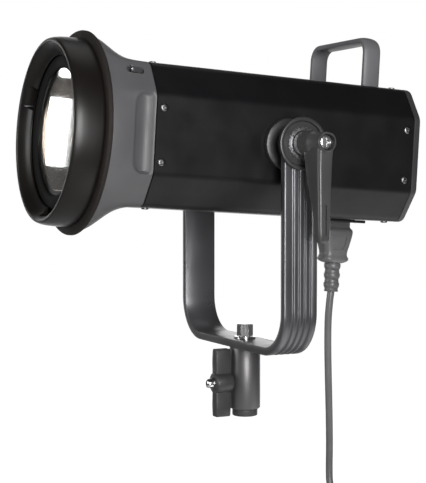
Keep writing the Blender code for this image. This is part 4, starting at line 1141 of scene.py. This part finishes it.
# Each light's name, what it points at, its place from there, width, height and watts. The two window lights
# are what the glass reflects.
LIGHTS = [
    ("key", "pivot", Vector((1.55, -0.35, 0.15)), 0.5, 1.0, 31),
    ("low", "pivot", Vector((0.15, 0.45, -0.95)), 1.1, 1.1, 5),
    ("fill", "pivot", -1.7 * CAMERA_RIGHT - 0.5 * CAMERA_AHEAD + Vector((0, 0, 0.2)), 0.6, 1.0, 11),
    ("top", "pivot", 0.5 * CAMERA_AHEAD + Vector((0, 0, 1.5)), 1.0, 1.0, 2),
    ("window", "glass", Vector((-1.14, -0.367, 0.095)), 0.054, 0.114, 0.3),
    ("window_top", "glass", Vector((-1.133, -0.381, 0.196)), 0.019, 0.014, 0.03),
    ("backdrop", "pivot", 2.2 * CAMERA_AHEAD + Vector((0, 0, 0.1)), 3.4, 2.2, 36),
]


def make_floor():
    size, z = FLOOR_HALF, FLOOR_Z
    points = [(-size, -size, z), (size, -size, z), (size, size, z), (-size, size, z)]
    floor = piece("studio_floor", points, [(0, 1, 2, 3)], "floor", None)


def area_light(name, place, aim, wide, high, watts):
    data = bpy.data.lights.new(name, "AREA")
    data.energy = watts
    data.shape = "RECTANGLE"
    data.size = wide
    data.size_y = high
    made = linked(name, data)
    made.location = place
    made.rotation_euler = (aim - place).to_track_quat("-Z", "Y").to_euler()


def make_world():
    """A white studio to look at, and a dimmer one to light the object, darkest overhead."""
    world = bpy.data.worlds.new("studio")
    world.use_nodes = True
    tree = world.node_tree
    seen = tree.nodes["Background"]
    put(seen, {"Color": (1, 1, 1, 1), "Strength": 1.0})
    dim = tree.nodes.new("ShaderNodeBackground")
    put(dim, {"Strength": WORLD_LIGHT})
    place = tree.nodes.new("ShaderNodeTexCoord").outputs["Generated"]
    split = tree.nodes.new("ShaderNodeSeparateXYZ")
    tree.links.new(place, split.inputs["Vector"])
    height = tree.nodes.new("ShaderNodeMapRange")
    put(height, {"From Min": 0.55, "From Max": -0.2, "To Min": 0.25, "To Max": 1.0})
    tree.links.new(split.outputs["Z"], height.inputs["Value"])
    tree.links.new(height.outputs["Result"], dim.inputs["Color"])
    path = tree.nodes.new("ShaderNodeLightPath")
    mix = tree.nodes.new("ShaderNodeMixShader")
    tree.links.new(path.outputs["Is Camera Ray"], mix.inputs["Fac"])
    tree.links.new(dim.outputs["Background"], mix.inputs[1])
    tree.links.new(seen.outputs["Background"], mix.inputs[2])
    tree.links.new(mix.outputs["Shader"], tree.nodes["World Output"].inputs["Surface"])
    bpy.context.scene.world = world


def make_stage():
    make_world()
    bpy.context.scene.view_settings.view_transform = "Standard"
    LOOKS["floor"], tree, shader = new_material("studio_floor", (0.6, 0.6, 0.6), 0.9)
    put(shader, {"Emission Color": (1, 1, 1, 1), "Specular IOR Level": 0.0})
    seen = tree.nodes.new("ShaderNodeLightPath").outputs["Is Camera Ray"]
    tree.links.new(seen, shader.inputs["Emission Strength"])
    make_floor()
    aims = {"pivot": Vector((0, 0, PIVOT_Z)), "glass": HEAD @ Vector((0, -GLASS_FACE, 0))}
    for name, aim, place, wide, high, watts in LIGHTS:
        area_light(name, aims[aim] + place, aims[aim], wide, high, watts)


def main():
    make_camera()
    make_stage()
    paint_cad()
    make_tube()
    make_bell()
    make_mount()
    make_optics()
    make_release()
    make_cap()
    make_controls()
    make_handle()
    make_inlet()
    make_connector()
    make_yoke()
    make_trunnions()
    make_pivots()
    make_lever()
    make_receiver()
    make_knob()
    make_lead()


main()
